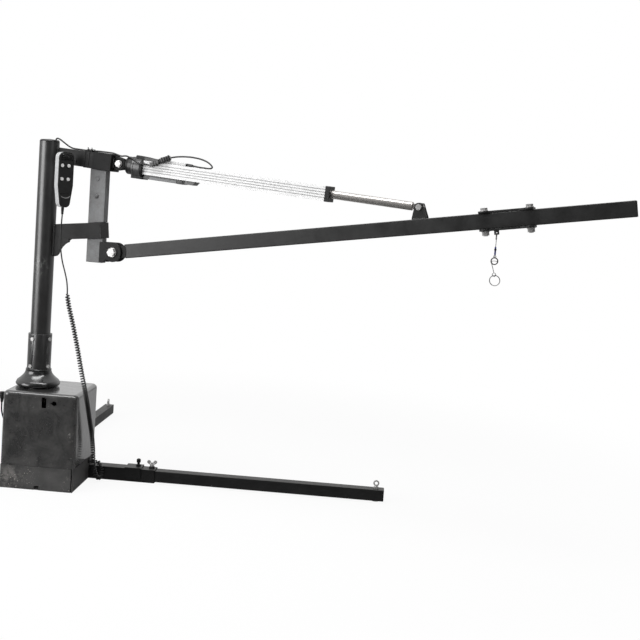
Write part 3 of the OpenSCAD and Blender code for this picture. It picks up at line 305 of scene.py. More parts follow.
class Nodes:
    """A short way to write the nodes of a material or of the world."""

    def __init__(self, name, world=False):
        self.data = (bpy.data.worlds if world else bpy.data.materials).new(name)
        self.data.use_nodes = True
        self.tree = self.data.node_tree
        self.tree.nodes.clear()
        self.out = self.tree.nodes.new("ShaderNodeOutputWorld" if world else "ShaderNodeOutputMaterial")
        self.coords = self.tree.nodes.new("ShaderNodeTexCoord").outputs["Generated" if world else "Object"]

    def link(self, a, b):
        self.tree.links.new(a, b)

    def value(self, socket, v):
        if isinstance(v, bpy.types.NodeSocket):
            self.link(v, socket)
        else:
            socket.default_value = v

    def node(self, kind, inputs=None, **props):
        n = self.tree.nodes.new(kind)
        for k, v in props.items():
            setattr(n, k, v)
        for k, v in (inputs or {}).items():
            self.value(n.inputs[k], v)
        return n

    def scaled(self, sx, sy, sz, turn=(0, 0, 0)):
        inputs = {"Vector": self.coords, "Scale": (sx, sy, sz), "Rotation": turn}
        return self.node("ShaderNodeMapping", inputs).outputs[0]

    def noise(self, scale, detail=3.0, rough=0.55, vector=None, distortion=0.0):
        inputs = {"Vector": vector or self.coords, "Scale": scale, "Detail": detail, "Roughness": rough,
                  "Distortion": distortion}
        return self.node("ShaderNodeTexNoise", inputs).outputs["Fac"]

    def ramp(self, fac, lo, hi, out_lo=0.0, out_hi=1.0):
        inputs = {"Value": fac, "From Min": lo, "From Max": hi, "To Min": out_lo, "To Max": out_hi}
        return self.node("ShaderNodeMapRange", inputs, interpolation_type="SMOOTHSTEP").outputs[0]

    def math(self, op, a, b):
        return self.node("ShaderNodeMath", {0: a, 1: b}, operation=op).outputs[0]

    def mul(self, a, b):
        return self.math("MULTIPLY", a, b)

    def most(self, a, b):
        return self.math("MAXIMUM", a, b)

    def mix(self, fac, a, b):
        ends = [(*v, 1) if isinstance(v, tuple) else v for v in (a, b)]
        return self.node("ShaderNodeMix", {0: fac, 6: ends[0], 7: ends[1]}, data_type="RGBA").outputs[2]

    def near(self, point, radius, soft=0.5):
        """1 near a point, falling to 0 at the radius."""
        n = self.node("ShaderNodeVectorMath", {0: self.coords, 1: tuple(point)}, operation="DISTANCE")
        return self.ramp(n.outputs["Value"], radius * soft, radius, 1.0, 0.0)

    def bump(self, height, strength, distance, normal=None):
        n = self.node("ShaderNodeBump", {"Height": height, "Strength": strength, "Distance": distance})
        if normal:
            self.link(normal, n.inputs["Normal"])
        return n.outputs[0]

    def finish(self, **sockets):
        names = {"color": "Base Color", "rough": "Roughness", "metal": "Metallic", "normal": "Normal",
                 "spec": "Specular IOR Level", "coat": "Coat Weight", "coat_rough": "Coat Roughness",
                 "ior": "IOR", "trans": "Transmission Weight"}
        shader = self.tree.nodes.new("ShaderNodeBsdfPrincipled")
        for k, v in sockets.items():
            self.value(shader.inputs[names[k]], (*v, 1) if isinstance(v, tuple) else v)
        self.link(shader.outputs[0], self.out.inputs[0])
        return self.data


def grey(v, warm=0.0):
    """A grey of one level, leaning warm or, below 0, cool."""
    return (v * (1 + warm), v, v * (1 - warm))


def scratches(n, scale, stretch, turn, lo, hi):
    """Thin long marks in one direction."""
    v = n.scaled(*stretch, turn=turn)
    return n.ramp(n.noise(scale, 2.0, 0.5, v), lo, hi)


def coated_steel(name, base, rough, peel=900, peel_depth=0.00012, dust=0.0, wear=0.35, spec=0.35):
    """Powder-coated steel: orange peel, faint cloudiness, small scuffs and a little dust."""
    n = Nodes(name)
    clouds = n.noise(14, 4.0, 0.6)
    color = n.mix(n.ramp(clouds, 0.3, 0.75), grey(base * 0.85), grey(base * 1.35))
    speck = n.mul(n.ramp(n.noise(420, 2.0, 0.5), 0.70, 0.76), n.ramp(n.noise(30, 3.0), 0.5, 0.7))
    color = n.mix(n.mul(speck, 0.30 * wear), color, grey(0.35, 0.03))
    lines = scratches(n, 60, (1, 1, 9), (0.4, 0.3, 0.2), 0.68, 0.74)
    marks = n.mul(lines, n.ramp(n.noise(9, 2.0), 0.52, 0.7))
    color = n.mix(n.mul(marks, 0.22 * wear), color, grey(0.28, 0.02))
    if dust:
        normal = n.node("ShaderNodeNewGeometry").outputs["Normal"]
        up = n.node("ShaderNodeSeparateXYZ", {0: normal}).outputs[2]
        color = n.mix(n.mul(n.ramp(up, 0.5, 1.0), dust), color, grey(0.42, 0.03))
    fine = n.noise(peel, 2.0, 0.6)
    uneven = n.math("ADD", n.mul(clouds, 0.7), n.mul(n.noise(90, 3.0), 0.3))
    rough_map = n.ramp(uneven, 0.3, 0.7, rough - 0.06, rough + 0.09)
    return n.finish(color=color, rough=rough_map, normal=n.bump(fine, 0.35, peel_depth), spec=spec)


def moulded(name, color_in, rough, grain=700, depth=0.00008, shade=0.12, spec=0.5):
    """Moulded plastic with a fine grain and a slight change of shade."""
    n = Nodes(name)
    patch = n.ramp(n.noise(22, 3.0), 0.3, 0.7)
    lo = tuple(c * (1 - shade) for c in color_in)
    hi = tuple(min(1.0, c * (1 + shade)) for c in color_in)
    rough_map = n.ramp(n.noise(60, 2.0), 0.3, 0.7, rough - 0.05, rough + 0.06)
    grain_bump = n.bump(n.noise(grain, 2.0, 0.6), 0.3, depth)
    return n.finish(color=n.mix(patch, lo, hi), rough=rough_map, normal=grain_bump, spec=spec)


def metal(name, color_in, rough, brush=(1, 1, 1), brush_scale=300, stain=0.1, metallic=1.0):
    """Bare or plated metal with a brushed direction, smudges and dull spots."""
    n = Nodes(name)
    lines = n.noise(brush_scale, 3.0, 0.6, n.scaled(*brush))
    smudge = n.ramp(n.noise(35, 4.0, 0.6), 0.35, 0.75)
    dark = tuple(c * (1 - stain) for c in color_in)
    uneven = n.math("ADD", n.mul(lines, 0.5), n.mul(smudge, 0.5))
    rough_map = n.ramp(uneven, 0.2, 0.8, max(rough - 0.06, 0.03), rough + 0.1)
    return n.finish(color=n.mix(smudge, color_in, dark), rough=rough_map, metal=metallic,
                    normal=n.bump(lines, 0.25, 0.00003))


def cover_skin():
    """The cover: glossy black, mottled and finely wrinkled, with hazy wipe marks and light scratches."""
    n = Nodes("cover_skin")
    blotch = n.noise(16, 5.0, 0.62, distortion=0.6)
    grain = n.noise(75, 4.0, 0.7, distortion=0.3)
    haze = n.ramp(n.math("ADD", n.mul(blotch, 0.75), n.mul(grain, 0.25)), 0.34, 0.70)
    color = n.mix(haze, grey(0.023), grey(0.062, 0.02))
    wipe = n.mul(n.ramp(n.noise(5, 3.0, 0.6, n.scaled(1, 1, 0.35)), 0.45, 0.75), 0.35)
    color = n.mix(wipe, color, grey(0.046, 0.02))
    fine = scratches(n, 75, (1, 1, 8), (0.5, 0.2, 0.1), 0.70, 0.75)
    cross_marks = scratches(n, 60, (7, 1, 1), (0.2, 0.9, 0.4), 0.71, 0.76)
    marks = n.mul(n.most(fine, cross_marks), n.ramp(n.noise(11, 2.0), 0.45, 0.62))
    color = n.mix(n.mul(marks, 0.35), color, grey(0.25))
    scuff_at = n.most(n.near(world(151, -117, 187), 0.011), n.near(world(154, -117, 173), 0.011))
    scuffs = n.mul(scratches(n, 190, (3, 3, 0.8), (0.2, 0.6, 0.8), 0.60, 0.68), scuff_at)
    color = n.mix(n.mul(scuffs, 0.8), color, grey(0.45, 0.04))
    rough = n.math("ADD", n.ramp(haze, 0.0, 1.0, 0.16, 0.27), n.mul(marks, 0.2))
    cells = n.node("ShaderNodeTexVoronoi", {"Vector": n.coords, "Scale": 120.0}, feature="DISTANCE_TO_EDGE")
    pebble = n.bump(n.ramp(cells.outputs[0], 0.0, 0.25), 0.05, 0.00025)
    fine_bump = n.bump(n.noise(500, 3.0), 0.14, 0.00012, pebble)
    return n.finish(color=color, rough=rough, normal=fine_bump, spec=0.65, coat=0.85, coat_rough=0.16)


def plinth_coat():
    """The folded steel plinth: satin dark grey with pale chips low on the left and along the corner."""
    n = Nodes("plinth_coat")
    clouds = n.noise(12, 4.0, 0.6)
    color = n.mix(n.ramp(clouds, 0.3, 0.75), grey(0.041), grey(0.074, 0.02))
    chips = n.ramp(n.noise(210, 3.0, 0.6, distortion=0.8), 0.64, 0.68)
    left = n.near(world(-38, -114, 34), 0.055, 0.25)
    middle = n.near(world(14, -114, 42), 0.045, 0.2)
    corner = n.near(world(165, -114, 30), 0.035, 0.3)
    foot = n.near(world(150, -114, 2), 0.03, 0.3)
    where = n.most(n.most(left, middle), n.most(corner, foot))
    color = n.mix(n.mul(chips, where), color, grey(0.50, 0.10))
    stray = n.mul(n.ramp(n.noise(330, 2.0), 0.74, 0.78), 0.6)
    color = n.mix(stray, color, grey(0.38, 0.06))
    smear = n.mul(n.mul(n.ramp(n.noise(40, 4.0), 0.42, 0.62), left), 0.45)
    color = n.mix(smear, color, grey(0.22, 0.05))
    return n.finish(color=color, rough=n.ramp(clouds, 0.3, 0.7, 0.46, 0.60),
                    normal=n.bump(n.noise(800, 2.0), 0.3, 0.0001), spec=0.25)


def mast_coat():
    """The mast: black textured coat, rubbed grey in one place below the lower arm."""
    n = Nodes("mast_coat")
    clouds = n.noise(18, 4.0, 0.6)
    color = n.mix(n.ramp(clouds, 0.3, 0.75), grey(0.012), grey(0.022))
    rub = n.mul(n.ramp(n.noise(80, 4.0, 0.65, distortion=1.0), 0.48, 0.62),
                n.near(world(-4, -31, 716), 0.042, 0.3))
    color = n.mix(n.mul(rub, 0.40), color, grey(0.22, 0.01))
    speck = n.mul(n.ramp(n.noise(420, 2.0), 0.71, 0.77), n.ramp(n.noise(16, 2.0), 0.5, 0.7))
    color = n.mix(n.mul(speck, 0.3), color, grey(0.35))
    return n.finish(color=color, rough=n.ramp(clouds, 0.3, 0.7, 0.32, 0.40), spec=1.0, coat=0.6,
                    coat_rough=0.3, normal=n.bump(n.noise(620, 3.0, 0.65), 0.25, 0.0001))


def post_coat():
    """The post: satin grey with a metallic fleck and dull patches."""
    n = Nodes("post_coat")
    clouds = n.noise(26, 5.0, 0.65)
    color = n.mix(n.ramp(clouds, 0.3, 0.75), grey(0.105), grey(0.190, -0.02))
    fleck = n.ramp(n.noise(700, 2.0), 0.60, 0.70)
    color = n.mix(n.mul(fleck, 0.25), color, grey(0.42))
    return n.finish(color=color, rough=n.ramp(clouds, 0.3, 0.7, 0.38, 0.55), metal=0.25, spec=0.4,
                    normal=n.bump(n.noise(700, 2.0), 0.3, 0.0001))


def alloy_skin():
    """Anodised extrusion: pale, with fine lines along it and a few dull marks."""
    n = Nodes("alloy")
    turn = (0, -ACT_DROP, -SWING)
    lines = n.noise(240, 2.0, 0.5, n.scaled(0.02, 1, 1, turn=turn))
    marks = n.ramp(n.noise(24, 4.0, 0.6), 0.55, 0.8)
    color = n.mix(n.ramp(lines, 0.35, 0.65), grey(0.86), grey(0.76))
    color = n.mix(n.mul(marks, 0.2), color, grey(0.50))
    return n.finish(color=color, rough=n.ramp(lines, 0.3, 0.7, 0.50, 0.60),
                    normal=n.bump(lines, 0.2, 0.00003))


def clear_plastic():
    """The clear sleeves: hazy see-through plastic."""
    n = Nodes("clear_plastic")
    return n.finish(color=grey(0.93), rough=n.ramp(n.noise(200, 2.0), 0.3, 0.7, 0.08, 0.2), trans=0.75,
                    ior=1.45)


MAT = {
    "black_coat": coated_steel("black_coat", 0.015, 0.46, spec=0.45),
    "leg_coat": coated_steel("leg_coat", 0.009, 0.44, dust=0.11, spec=0.3),
    "arm_coat": coated_steel("arm_coat", 0.011, 0.46, spec=0.2),
    "bracket_coat": coated_steel("bracket_coat", 0.007, 0.42, spec=0.14),
    "boom_coat": coated_steel("boom_coat", 0.017, 0.40, peel=1100, wear=0.5, spec=0.5),
    "mast_coat": mast_coat(),
    "bell_gloss": coated_steel("bell_gloss", 0.012, 0.15, peel=1200, peel_depth=0.00004, spec=1.0),
    "grey_coat": post_coat(),
    "cover_skin": cover_skin(),
    "plinth_coat": plinth_coat(),
    "black_plastic": moulded("black_plastic", grey(0.014), 0.42),
    "dull_black": moulded("dull_black", grey(0.010), 0.42, spec=0.2),
    "gloss_plastic": moulded("gloss_plastic", grey(0.010), 0.16, grain=1500, depth=0.00002),
    "case_plastic": moulded("case_plastic", grey(0.022), 0.30, grain=900, depth=0.00005),
    "grey_plastic": moulded("grey_plastic", grey(0.45, -0.01), 0.38, shade=0.06),
    "white_plastic": moulded("white_plastic", grey(0.66, 0.01), 0.30, shade=0.04),
    "pale_housing": moulded("pale_housing", grey(0.60), 0.35, shade=0.12),
    # Grey of the hand control's curved line, also used as painted shade in the tube's grooves
    "grey_line_and_groove_shade": moulded("grey_line_and_groove_shade", grey(0.48), 0.5, spec=0.2),
    "strip_face": moulded("strip_face", grey(0.17, -0.02), 0.38, shade=0.10),
    "wire": metal("wire", grey(0.22), 0.35, stain=0.2, metallic=0.7),
    "band_metal": metal("band_metal", grey(0.09), 0.34, brush=(1, 12, 12), metallic=0.5, stain=0.08),
    "black_rubber": moulded("black_rubber", grey(0.011), 0.40, grain=1800, depth=0.00003),
    "zinc": metal("zinc", grey(0.58, 0.01), 0.40, stain=0.25, metallic=0.6),
    "steel": metal("steel", grey(0.58, 0.04), 0.28, brush=(40, 1, 1), brush_scale=60, stain=0.3,
                   metallic=0.8),
    "alloy": alloy_skin(),
    "blue_sleeve": moulded("blue_sleeve", (0.010, 0.016, 0.14), 0.35),
    "weld": metal("weld", grey(0.048), 0.40, metallic=0.3, stain=0.3),
    "clear": clear_plastic(),
}

NODE_MAT = {
    "plinth": "plinth_coat", "cover": "cover_skin", "control_box": "case_plastic",
    "slew_motor": "grey_coat", "cord_gland": "black_plastic", "power_plug": "black_plastic",
    "mast_tube": "mast_coat", "bell_skirt": "bell_gloss", "mast_socket": "mast_coat",
    "mast_cap": "gloss_plastic", "post": "grey_coat", "arm_end_cap": "gloss_plastic",
    "cable_ties": "dull_black", "pendant_shell": "grey_plastic", "pendant_face": "black_plastic",
    "actuator_gearcase": "dull_black", "actuator_motor": "case_plastic",
    "actuator_end_cap": "black_plastic", "actuator_tube": "alloy", "lifting_rod": "steel",
    "lead_screw": "steel", "actuator_eye": "steel", "spindle": "steel", "spindle_bearings": "steel",
    "slew_gear": "steel", "slew_pinion": "steel", "lower_arm": "arm_coat", "upper_arm": "arm_coat",
    "boom_tube": "boom_coat", "boom_ears": "arm_coat", "boom_knuckle": "arm_coat",
    "clamp_plates": "black_coat", "rod_bracket": "black_coat", "actuator_bracket": "bracket_coat",
    "base_frame": "black_coat", "pendant_hook": "black_coat",
}
# Width in millimetres of the rounding of the pieces' edges
ROUNDED = {
    "boom_tube": 2.6, "leg_right": 2.6, "leg_back": 2.6, "receiver_right": 3.0, "receiver_back": 3.0,
    "upper_arm": 2.5, "lower_arm": 2.5, "post": 2.0, "arm_end_cap": 1.1, "actuator_bracket": 1.2,
    "boom_ears": 1.2, "boom_knuckle": 2.0, "rod_bracket": 0.8, "clamp_plates": 1.0, "plinth": 1.0,
    "receiver_straps": 1.2, "pendant_shell": 1.6, "pendant_face": 1.0, "actuator_motor": 2.0,
    "actuator_end_cap": 1.6, "boom_pivot_bolt": 0.8, "actuator_pivot_bolt": 0.6, "rod_bracket_bolt": 0.5,
    "clamp_bolts": 0.7, "level_bolt_right": 0.6, "level_bolt_back": 0.6, "thumb_screw_right": 0.6,
    "thumb_screw_back": 0.6, "socket_screws": 0.7, "mast_socket": 0.8, "power_plug": 0.6, "cord_gland": 0.8,
    "actuator_gearcase": 2.0, "cable_ties": 0.4, "pendant_hook": 0.5, "control_box": 2.0,
}
for i in (1, 2, 3, 4):
    NODE_MAT[f"button_{i}"] = "white_plastic"
    ROUNDED[f"button_{i}"] = 0.8
for name in ("receiver_right", "receiver_back", "receiver_straps", "leg_right", "leg_back"):
    NODE_MAT[name] = "leg_coat"
for name in ("level_bolt_right", "level_bolt_back", "thumb_screw_right", "thumb_screw_back", "socket_screws",
             "boom_pivot_bolt", "actuator_pivot_bolt", "rod_bracket_bolt", "clamp_bolts", "lanyard"):
    NODE_MAT[name] = "zinc"


def dress_cad():
    """Gives every piece of the frame its material, and rounds the edges of those that are listed."""
    for name, obj in frame["nodes"].items():
        obj.data.materials.clear()
        obj.data.materials.append(MAT[NODE_MAT.get(name, "black_coat")])
        if name in ROUNDED:
            obj.modifiers.new("join", "WELD").merge_threshold = 0.00001
            bevel = obj.modifiers.new("round", "BEVEL")
            bevel.width = ROUNDED[name] * MM
            bevel.segments = 3
            bevel.limit_method = "ANGLE"
            bevel.angle_limit = math.radians(40)
            bevel.harden_normals = True
            bevel.use_clamp_overlap = True


dress_cad()

# Cords first, along the routes of the part's source


def mm_route(place, points):
    return [place(*p) for p in points]


def seat(obj, body):
    """Puts a piece on its body."""
    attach(obj, body)
    return obj


def lay_cord(cord, points, diameter, far_end, stiffness="medium", **more):
    """Prints the length of a free cord along its own centreline."""
    print(cord.name, "length", round(path_length(points), 4))


CORD_D = 4.5
TOP_ROUTE = mm_route(world, [
    (75.5, -70.5, 888), (75.3, -70.8, 878), (75, -72, 862), (75.5, -75, 826), (77.5, -78, 791),
    (82, -81, 763), (89, -85, 736), (99, -90, 709), (108, -95, 682), (113, -100, 660),
    (114.5, -102, 646)])
CURL_ROUTE = mm_route(world, [
    (114.5, -102, 646), (115.5, -103, 636), (123, -105, 600), (136, -106, 555), (148, -106, 508),
    (159, -106, 463), (171, -103, 405), (181, -94, 350), (186, -66, 290), (188, -34, 228), (190, -4, 168),
    (192, 12, 118), (195, 14, 78), (200, 14, 46), (206, 19, 24), (212, 32, 14), (215, 47, 20),
    (212, 57, 38), (204, 60, 54), (194, 60, 62), (184, 60, 62)])
CURLS, CURL_R = 88, (16 - CORD_D) / 2
CURL_MARKS, CURL_LEAN, CURL_EASE = 240, 0.004, 0.8


def curl_points(steps_a_curl):
    """The centreline of the curly stretch, by the rule that the part's source uses."""
    marks = smooth_route(CURL_ROUTE, CURL_MARKS)
    travel = [0.0]
    for a, b in zip(marks, marks[1:]):
        travel.append(travel[-1] + (b - a).length)
    total = travel[-1]
    ref = Vector((0.7071, -0.7071, 0))
    out, j = [], 0
    n = CURLS * steps_a_curl
    for i in range(n + 1):
        s = i / n
        while j < CURL_MARKS - 1 and travel[j + 1] < s * total:
            j += 1
        t = (j + (s * total - travel[j]) / (travel[j + 1] - travel[j])) / CURL_MARKS
        p = on_curve(CURL_ROUTE, t)
        d = (on_curve(CURL_ROUTE, t + CURL_LEAN) - on_curve(CURL_ROUTE, t - CURL_LEAN)).normalized()
        u = d.cross(ref).normalized()
        v = d.cross(u)
        ease = max(0.0, min(1.0, (min(s, 1 - s) - CORD_D * MM / total) * CURLS * CURL_EASE))
        a = 2 * math.pi * CURLS * s
        out.append(p + (u * math.cos(a) + v * math.sin(a)) * CURL_R * MM * ease)
    return out


def make_pendant_cord():
    """The hand control's cord: one tube, straight at first and then in curls down to the plinth."""
    points = smooth_route(TOP_ROUTE, 60) + curl_points(14)[1:]
    cord = tube("pendant_lead", points, CORD_D / 2 * MM, MAT["black_rubber"], sides=8)
    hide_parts("pendant_cord", "pendant_cord_curls")
    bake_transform(cord)
    lay_cord(cord, points, CORD_D * MM, "object")


make_pendant_cord()

LEAD_D = 5.0
LEAD_ROUTE = mm_route(world, [
    (-104, -40, 261), (-104, -40, 250), (-104, -39, 236), (-103, -34, 220), (-101, -25, 203),
    (-99, -12, 185), (-97, 4, 166), (-95, 20, 146), (-94, 36, 124), (-93, 49, 102), (-92, 57, 80),
    (-89, 60, 63), (-83, 60, 55), (-72, 60, 53)])


def make_power_lead():
    """The power lead, from its plug down behind the cover."""
    points = smooth_route(LEAD_ROUTE, 70)
    lead = tube("power_cord", points, LEAD_D / 2 * MM, MAT["black_rubber"])
    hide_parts("power_lead")
    seat(lead, "base")
    lay_cord(lead, points, LEAD_D * MM, "object", with_pieces=[frame["nodes"]["power_plug"]])


make_power_lead()

ARM_ROUTE = mm_route(arm, [
    (12, -8, 1126), (13.5, -8, 1130), (18, -7.5, 1131.5), (26, -7, 1129), (38, -5.5, 1121.5),
    (50, -3.5, 1113.5), (60, -2, 1107.5), (72, 0, 1102.6), (90, 0, 1100.7), (120, 0, 1098.6),
    (150, 0, 1097.2), (165, -2, 1097.6), (180, -6, 1097), (205, -11, 1095.6), (226, -14, 1094.2),
    (236, -15, 1092.6)])
ACT_ROUTE = mm_route(act, [
    (6, -15, 25.5), (16, -15, 27), (27, -15.5, 27.6), (40, -19, 24.8), (49, -23.2, 23.5), (60, -27, 19.4),
    (72, -30.7, 14.2), (82, -33, 11), (93, -33.2, 9.2), (104, -28, 9.4), (116, -25.4, 10)])
JOINT_ROUTE = mm_route(act, [
    (116, -25.4, 10), (132, -27.5, 15), (150, -27.6, 24), (168, -26, 34), (186, -22.5, 42)])
LOOP_ROUTE = mm_route(act, [
    (186, -22.5, 42), (205, -20, 47), (228, -17, 50.5), (254, -15, 52), (284, -14, 50), (308, -14, 44),
    (323, -14, 35), (326, -14, 28.5), (318, -14, 25), (303, -14, 24.6), (280, -13, 24.6),
    (258, -11, 24.9), (238.5, -10, 25.6)])
CABLE_D, JOINT_STEPS = 5.0, 60


def make_arm_cable():
    """The arm cable with its plug and socket beside the actuator."""
    points = smooth_route(ARM_ROUTE + ACT_ROUTE, 150)
    cable = tube("arm_lead", points, CABLE_D / 2 * MM, MAT["black_rubber"])
    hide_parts("arm_cable", "actuator_cable")
    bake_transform(cable)
    lay_cord(cable, points, CABLE_D * MM, "connector", with_pieces=make_cable_joint())


def make_loop_cable():
    """The cable that loops from the plug and socket back into the pale housing, with its plug there."""
    points = smooth_route(LOOP_ROUTE, 90)
    loop = seat(tube("loop_lead", points, CABLE_D / 2 * MM, MAT["black_rubber"]), "actuator")
    plug = loft("loop_plug", [(0, rounded_rect(9, 9, 2)), (18, rounded_rect(9, 9, 2)),
                              (20, rounded_rect(6, 6, 2)), (34, rounded_rect(5.4, 5.4, 2))],
                lambda t, a, b: act(239 + t, -10.4 + a - t * 0.02, 26.4 + b - t * 0.04), MAT["black_plastic"])
    seat(plug, "actuator")
    lay_cord(loop, points, CABLE_D * MM, "connector", with_pieces=[plug])


def joint_section(points, q):
    """The point at share q of the joint, with the directions along it, across it and up."""
    k = min(int(q * JOINT_STEPS), JOINT_STEPS - 1)
    d = heading(points, k)
    u = d.cross(Vector((0, 0, 1))).normalized()
    return points[k].lerp(points[k + 1], q * JOINT_STEPS - k), d, u, u.cross(d)


def make_joint_body(points):
    """The two ribbed halves, each from share a to share b of the joint."""
    bm = bmesh.new()
    for a, b, w, h, ribs in ((0.08, 0.56, 15.0, 14.0, 4), (0.54, 0.97, 17.0, 16.0, 5)):
        rings = []
        last = ribs * 4
        for i in range(last + 1):
            p, _, u, v = joint_section(points, a + (b - a) * i / last)
            grow = 0.7 if i in (0, last) else 1.0 if i % 4 in (1, 2) else 0.93
            rings.append([bm.verts.new(p + (u * x + v * y) * MM * grow) for x, y in rounded_rect(w, h, 2, 3)])
        for ra, rb in zip(rings, rings[1:]):
            bridge(bm, ra, rb)
        cap(bm, rings)
    return add_object("cable_joint", bm, MAT["case_plastic"], sharp=math.radians(25))


def make_joint_tie(points, number, q, w):
    """A tie round the joint at share q, w from its middle, and its head on top."""
    p, d, u, v = joint_section(points, q)
    band = [p + (u * x + v * y) * MM for x, y in rounded_rect(2 * w, 2 * w, 2.2, 4)]
    head = p + v * (w + 0.5) * MM
    end = rounded_rect(3.4, 2.2, 0.6, 2)
    return [tube(f"joint_tie_{number}", band, 0.8 * MM, MAT["gloss_plastic"], sides=6, closed=True),
            loft(f"joint_tie_head_{number}", [(-1.6, end), (1.6, end)],
                 lambda t, a, b: head + (d * t + u * a + v * b) * MM, MAT["gloss_plastic"])]


def make_cable_joint():
    """The tied plug and socket beside the tube, with a clear sleeve at each end."""
    points = smooth_route(JOINT_ROUTE, JOINT_STEPS)
    pieces = [make_joint_body(points)]
    for i, (q, w) in enumerate(((0.30, 7.5), (0.65, 8.5), (0.90, 8.5))):
        pieces += make_joint_tie(points, i + 1, q, w)
    for i, (lo, hi, r) in enumerate(((0.0, 0.13, 4.6), (0.94, 1.0, 5.0))):
        pts = [on_curve(JOINT_ROUTE, lo + (hi - lo) * k / 6) for k in range(7)]
        radii = [r * MM * (0.8 if k in (0, 6) else 1) for k in range(7)]
        pieces.append(tube(f"clear_sleeve_{i + 1}", pts, r * MM, MAT["clear"], sides=12, radii=radii))
    return [seat(p, "actuator") for p in pieces]


make_arm_cable()
make_loop_cable()

# Small parts


def hoop(place, centre, r, plane, steps=28):
    """Points of a circle in one plane of a frame."""
    cx, cy, cz = centre
    out = []
    for i in range(steps):
        a = 2 * math.pi * i / steps
        u, v = r * math.cos(a), r * math.sin(a)
        out.append(place(cx + u, cy, cz + v) if plane == "xz" else place(cx, cy + u, cz + v))
    return out


def block(name, place, x0, x1, y0, y1, z0, z1, r, material, ease=0.6):
    """A bar along x with rounded edges and eased ends."""
    w, h = y1 - y0, z1 - z0
    cy, cz = (y0 + y1) / 2, (z0 + z1) / 2
    small = rounded_rect(w - 2 * ease, h - 2 * ease, max(r - ease, 0.2))
    full = rounded_rect(w, h, r)
    return loft(name, [(x0, small), (x0 + ease, full), (x1 - ease, full), (x1, small)],
                lambda t, a, b: place(t, cy + a, cz + b), material)


def bead(name, points, r, steps, body, seed):
    """A weld on a body: a lumpy bead with overlapping ripples."""
    rnd = random.Random(seed)
    pts = smooth_route(points, steps)
    swell = [1 + 0.22 * math.sin(i * 1.9) + rnd.uniform(-0.10, 0.10) for i in range(steps + 1)]
    swell[0] = swell[-1] = 0.45
    bm = bmesh.new()
    rings_into(bm, pts, [r * MM * q for q in swell], 8)
    seat(add_object(name, bm, MAT["weld"], sharp=math.radians(60)), body)


WIRE_D = 2.0


def make_tether():
    """The safety pin's tether: ring, wire in a sleeve, spring clip, leg, coil and split ring."""
    bright, black = MAT["wire"], MAT["gloss_plastic"]

    def curve(points, steps):
        return smooth_route([tether(x, 0, z) for x, z in points], steps)

    def ring(name, centre, r, wire_r, material=bright, plane="xz", steps=28):
        return tube(name, hoop(tether, centre, r, plane, steps), wire_r * MM, material, sides=8, closed=True)

    points = curve([(0, -11.6), (0.4, -25), (0.2, -38), (-0.2, -52), (0, -63), (0, -71)], 30)
    wire = tube("tether_wire", points, WIRE_D / 2 * MM, bright, sides=8)
    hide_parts("lanyard")
    seat(wire, "lanyard")
    down = tether(0, 0, -1) - tether(0, 0, 0)
    pieces = [
        ring("tether_ring", (0, 0, -6), 5.8, 1.2, plane="yz"),
        lathe("tether_crimp", tether(0, 0, -12.5), down,
              [(0, 0), (0, 1.7), (0.5, 2.1), (5.5, 2.1), (6, 1.7), (6, 0)], bright, 18),
        lathe("tether_sleeve", tether(0, 0, -39), down,
              [(0, 0), (0, 1.8), (0.8, 2.5), (22.2, 2.5), (23, 1.8), (23, 0)], MAT["blue_sleeve"], 20),
        lathe("tether_nub", tether(0, 0, -44), down,
              [(0, 0), (0, 2.6), (0.6, 3.6), (1.6, 3.1), (2.6, 3.6), (3.6, 3.1), (4.6, 3.6), (5.2, 2.6),
               (5.2, 0)], black, 20),
        ring("tether_eye", (0, 0, -66.5), 3.4, 0.9),
        ring("clip_coil_near", (0, -1.5, -79), 9.3, 1.5, black),
        ring("clip_coil_far", (0, 1.5, -79), 9.3, 1.5, black),
        tube("clip_bar", curve([(-8.9, -82), (-6, -79.4), (0, -78.4), (6, -79.4), (8.9, -82)], 16),
             0.8 * MM, bright, sides=8),
        tube("pin_leg", curve([(-7, -85), (-6.4, -89), (-3.2, -98), (-0.4, -107), (1.2, -112)], 20),
             1.0 * MM, bright, sides=8),
        ring("split_ring_near", (5, -1.05, -133), 14.4, 1.05, steps=44),
        ring("split_ring_far", (5, 1.05, -133), 14.4, 1.05, steps=44),
        ring("link_ring", (4, 0, -119.8), 2.6, 0.7, plane="yz", steps=16),
    ]
    turns, per = 3, 20
    coil = [tether(2 + 4.9 * math.cos(2 * math.pi * i / per), -2.1 + 4.2 * i / (turns * per),
                   -117 + 4.9 * math.sin(2 * math.pi * i / per)) for i in range(turns * per + 1)]
    pieces.append(tube("pin_coil", coil, 0.8 * MM, bright, sides=8))
    for piece in pieces:
        seat(piece, "lanyard")
    lay_cord(wire, points, WIRE_D * MM, "fitting", "stiff", with_pieces=pieces[:7])


def make_welds():
    """Weld beads: arms to mast, ears to the upper arm, rod bracket to the boom."""
    bead("lower_arm_weld", [turned(33.2, -1.8, z) for z in (750, 784, 818, 851)], 2.6, 84, "mast", 3)
    bead("upper_arm_weld", [turned(33.2, -1.8, z) for z in (1036, 1056, 1078, 1101)], 2.6, 60, "mast", 4)
    for name, y, seed in (("near", -13.4, 5), ("far", 13.4, 6)):
        bead(f"{name}_ear_weld", [upper(-20.2, y, z) for z in (-17, -6, 6, 17)], 1.9, 34, "mast", seed)
    for name, y, seed in (("near", -14.6, 6), ("far", 14.6, 8)):
        bead(f"rod_bracket_weld_{name}", [boom(x, y, BOOM_TOP + 0.9) for x in (988, 1002, 1016, 1030)],
             1.9, 44, "boom", seed)


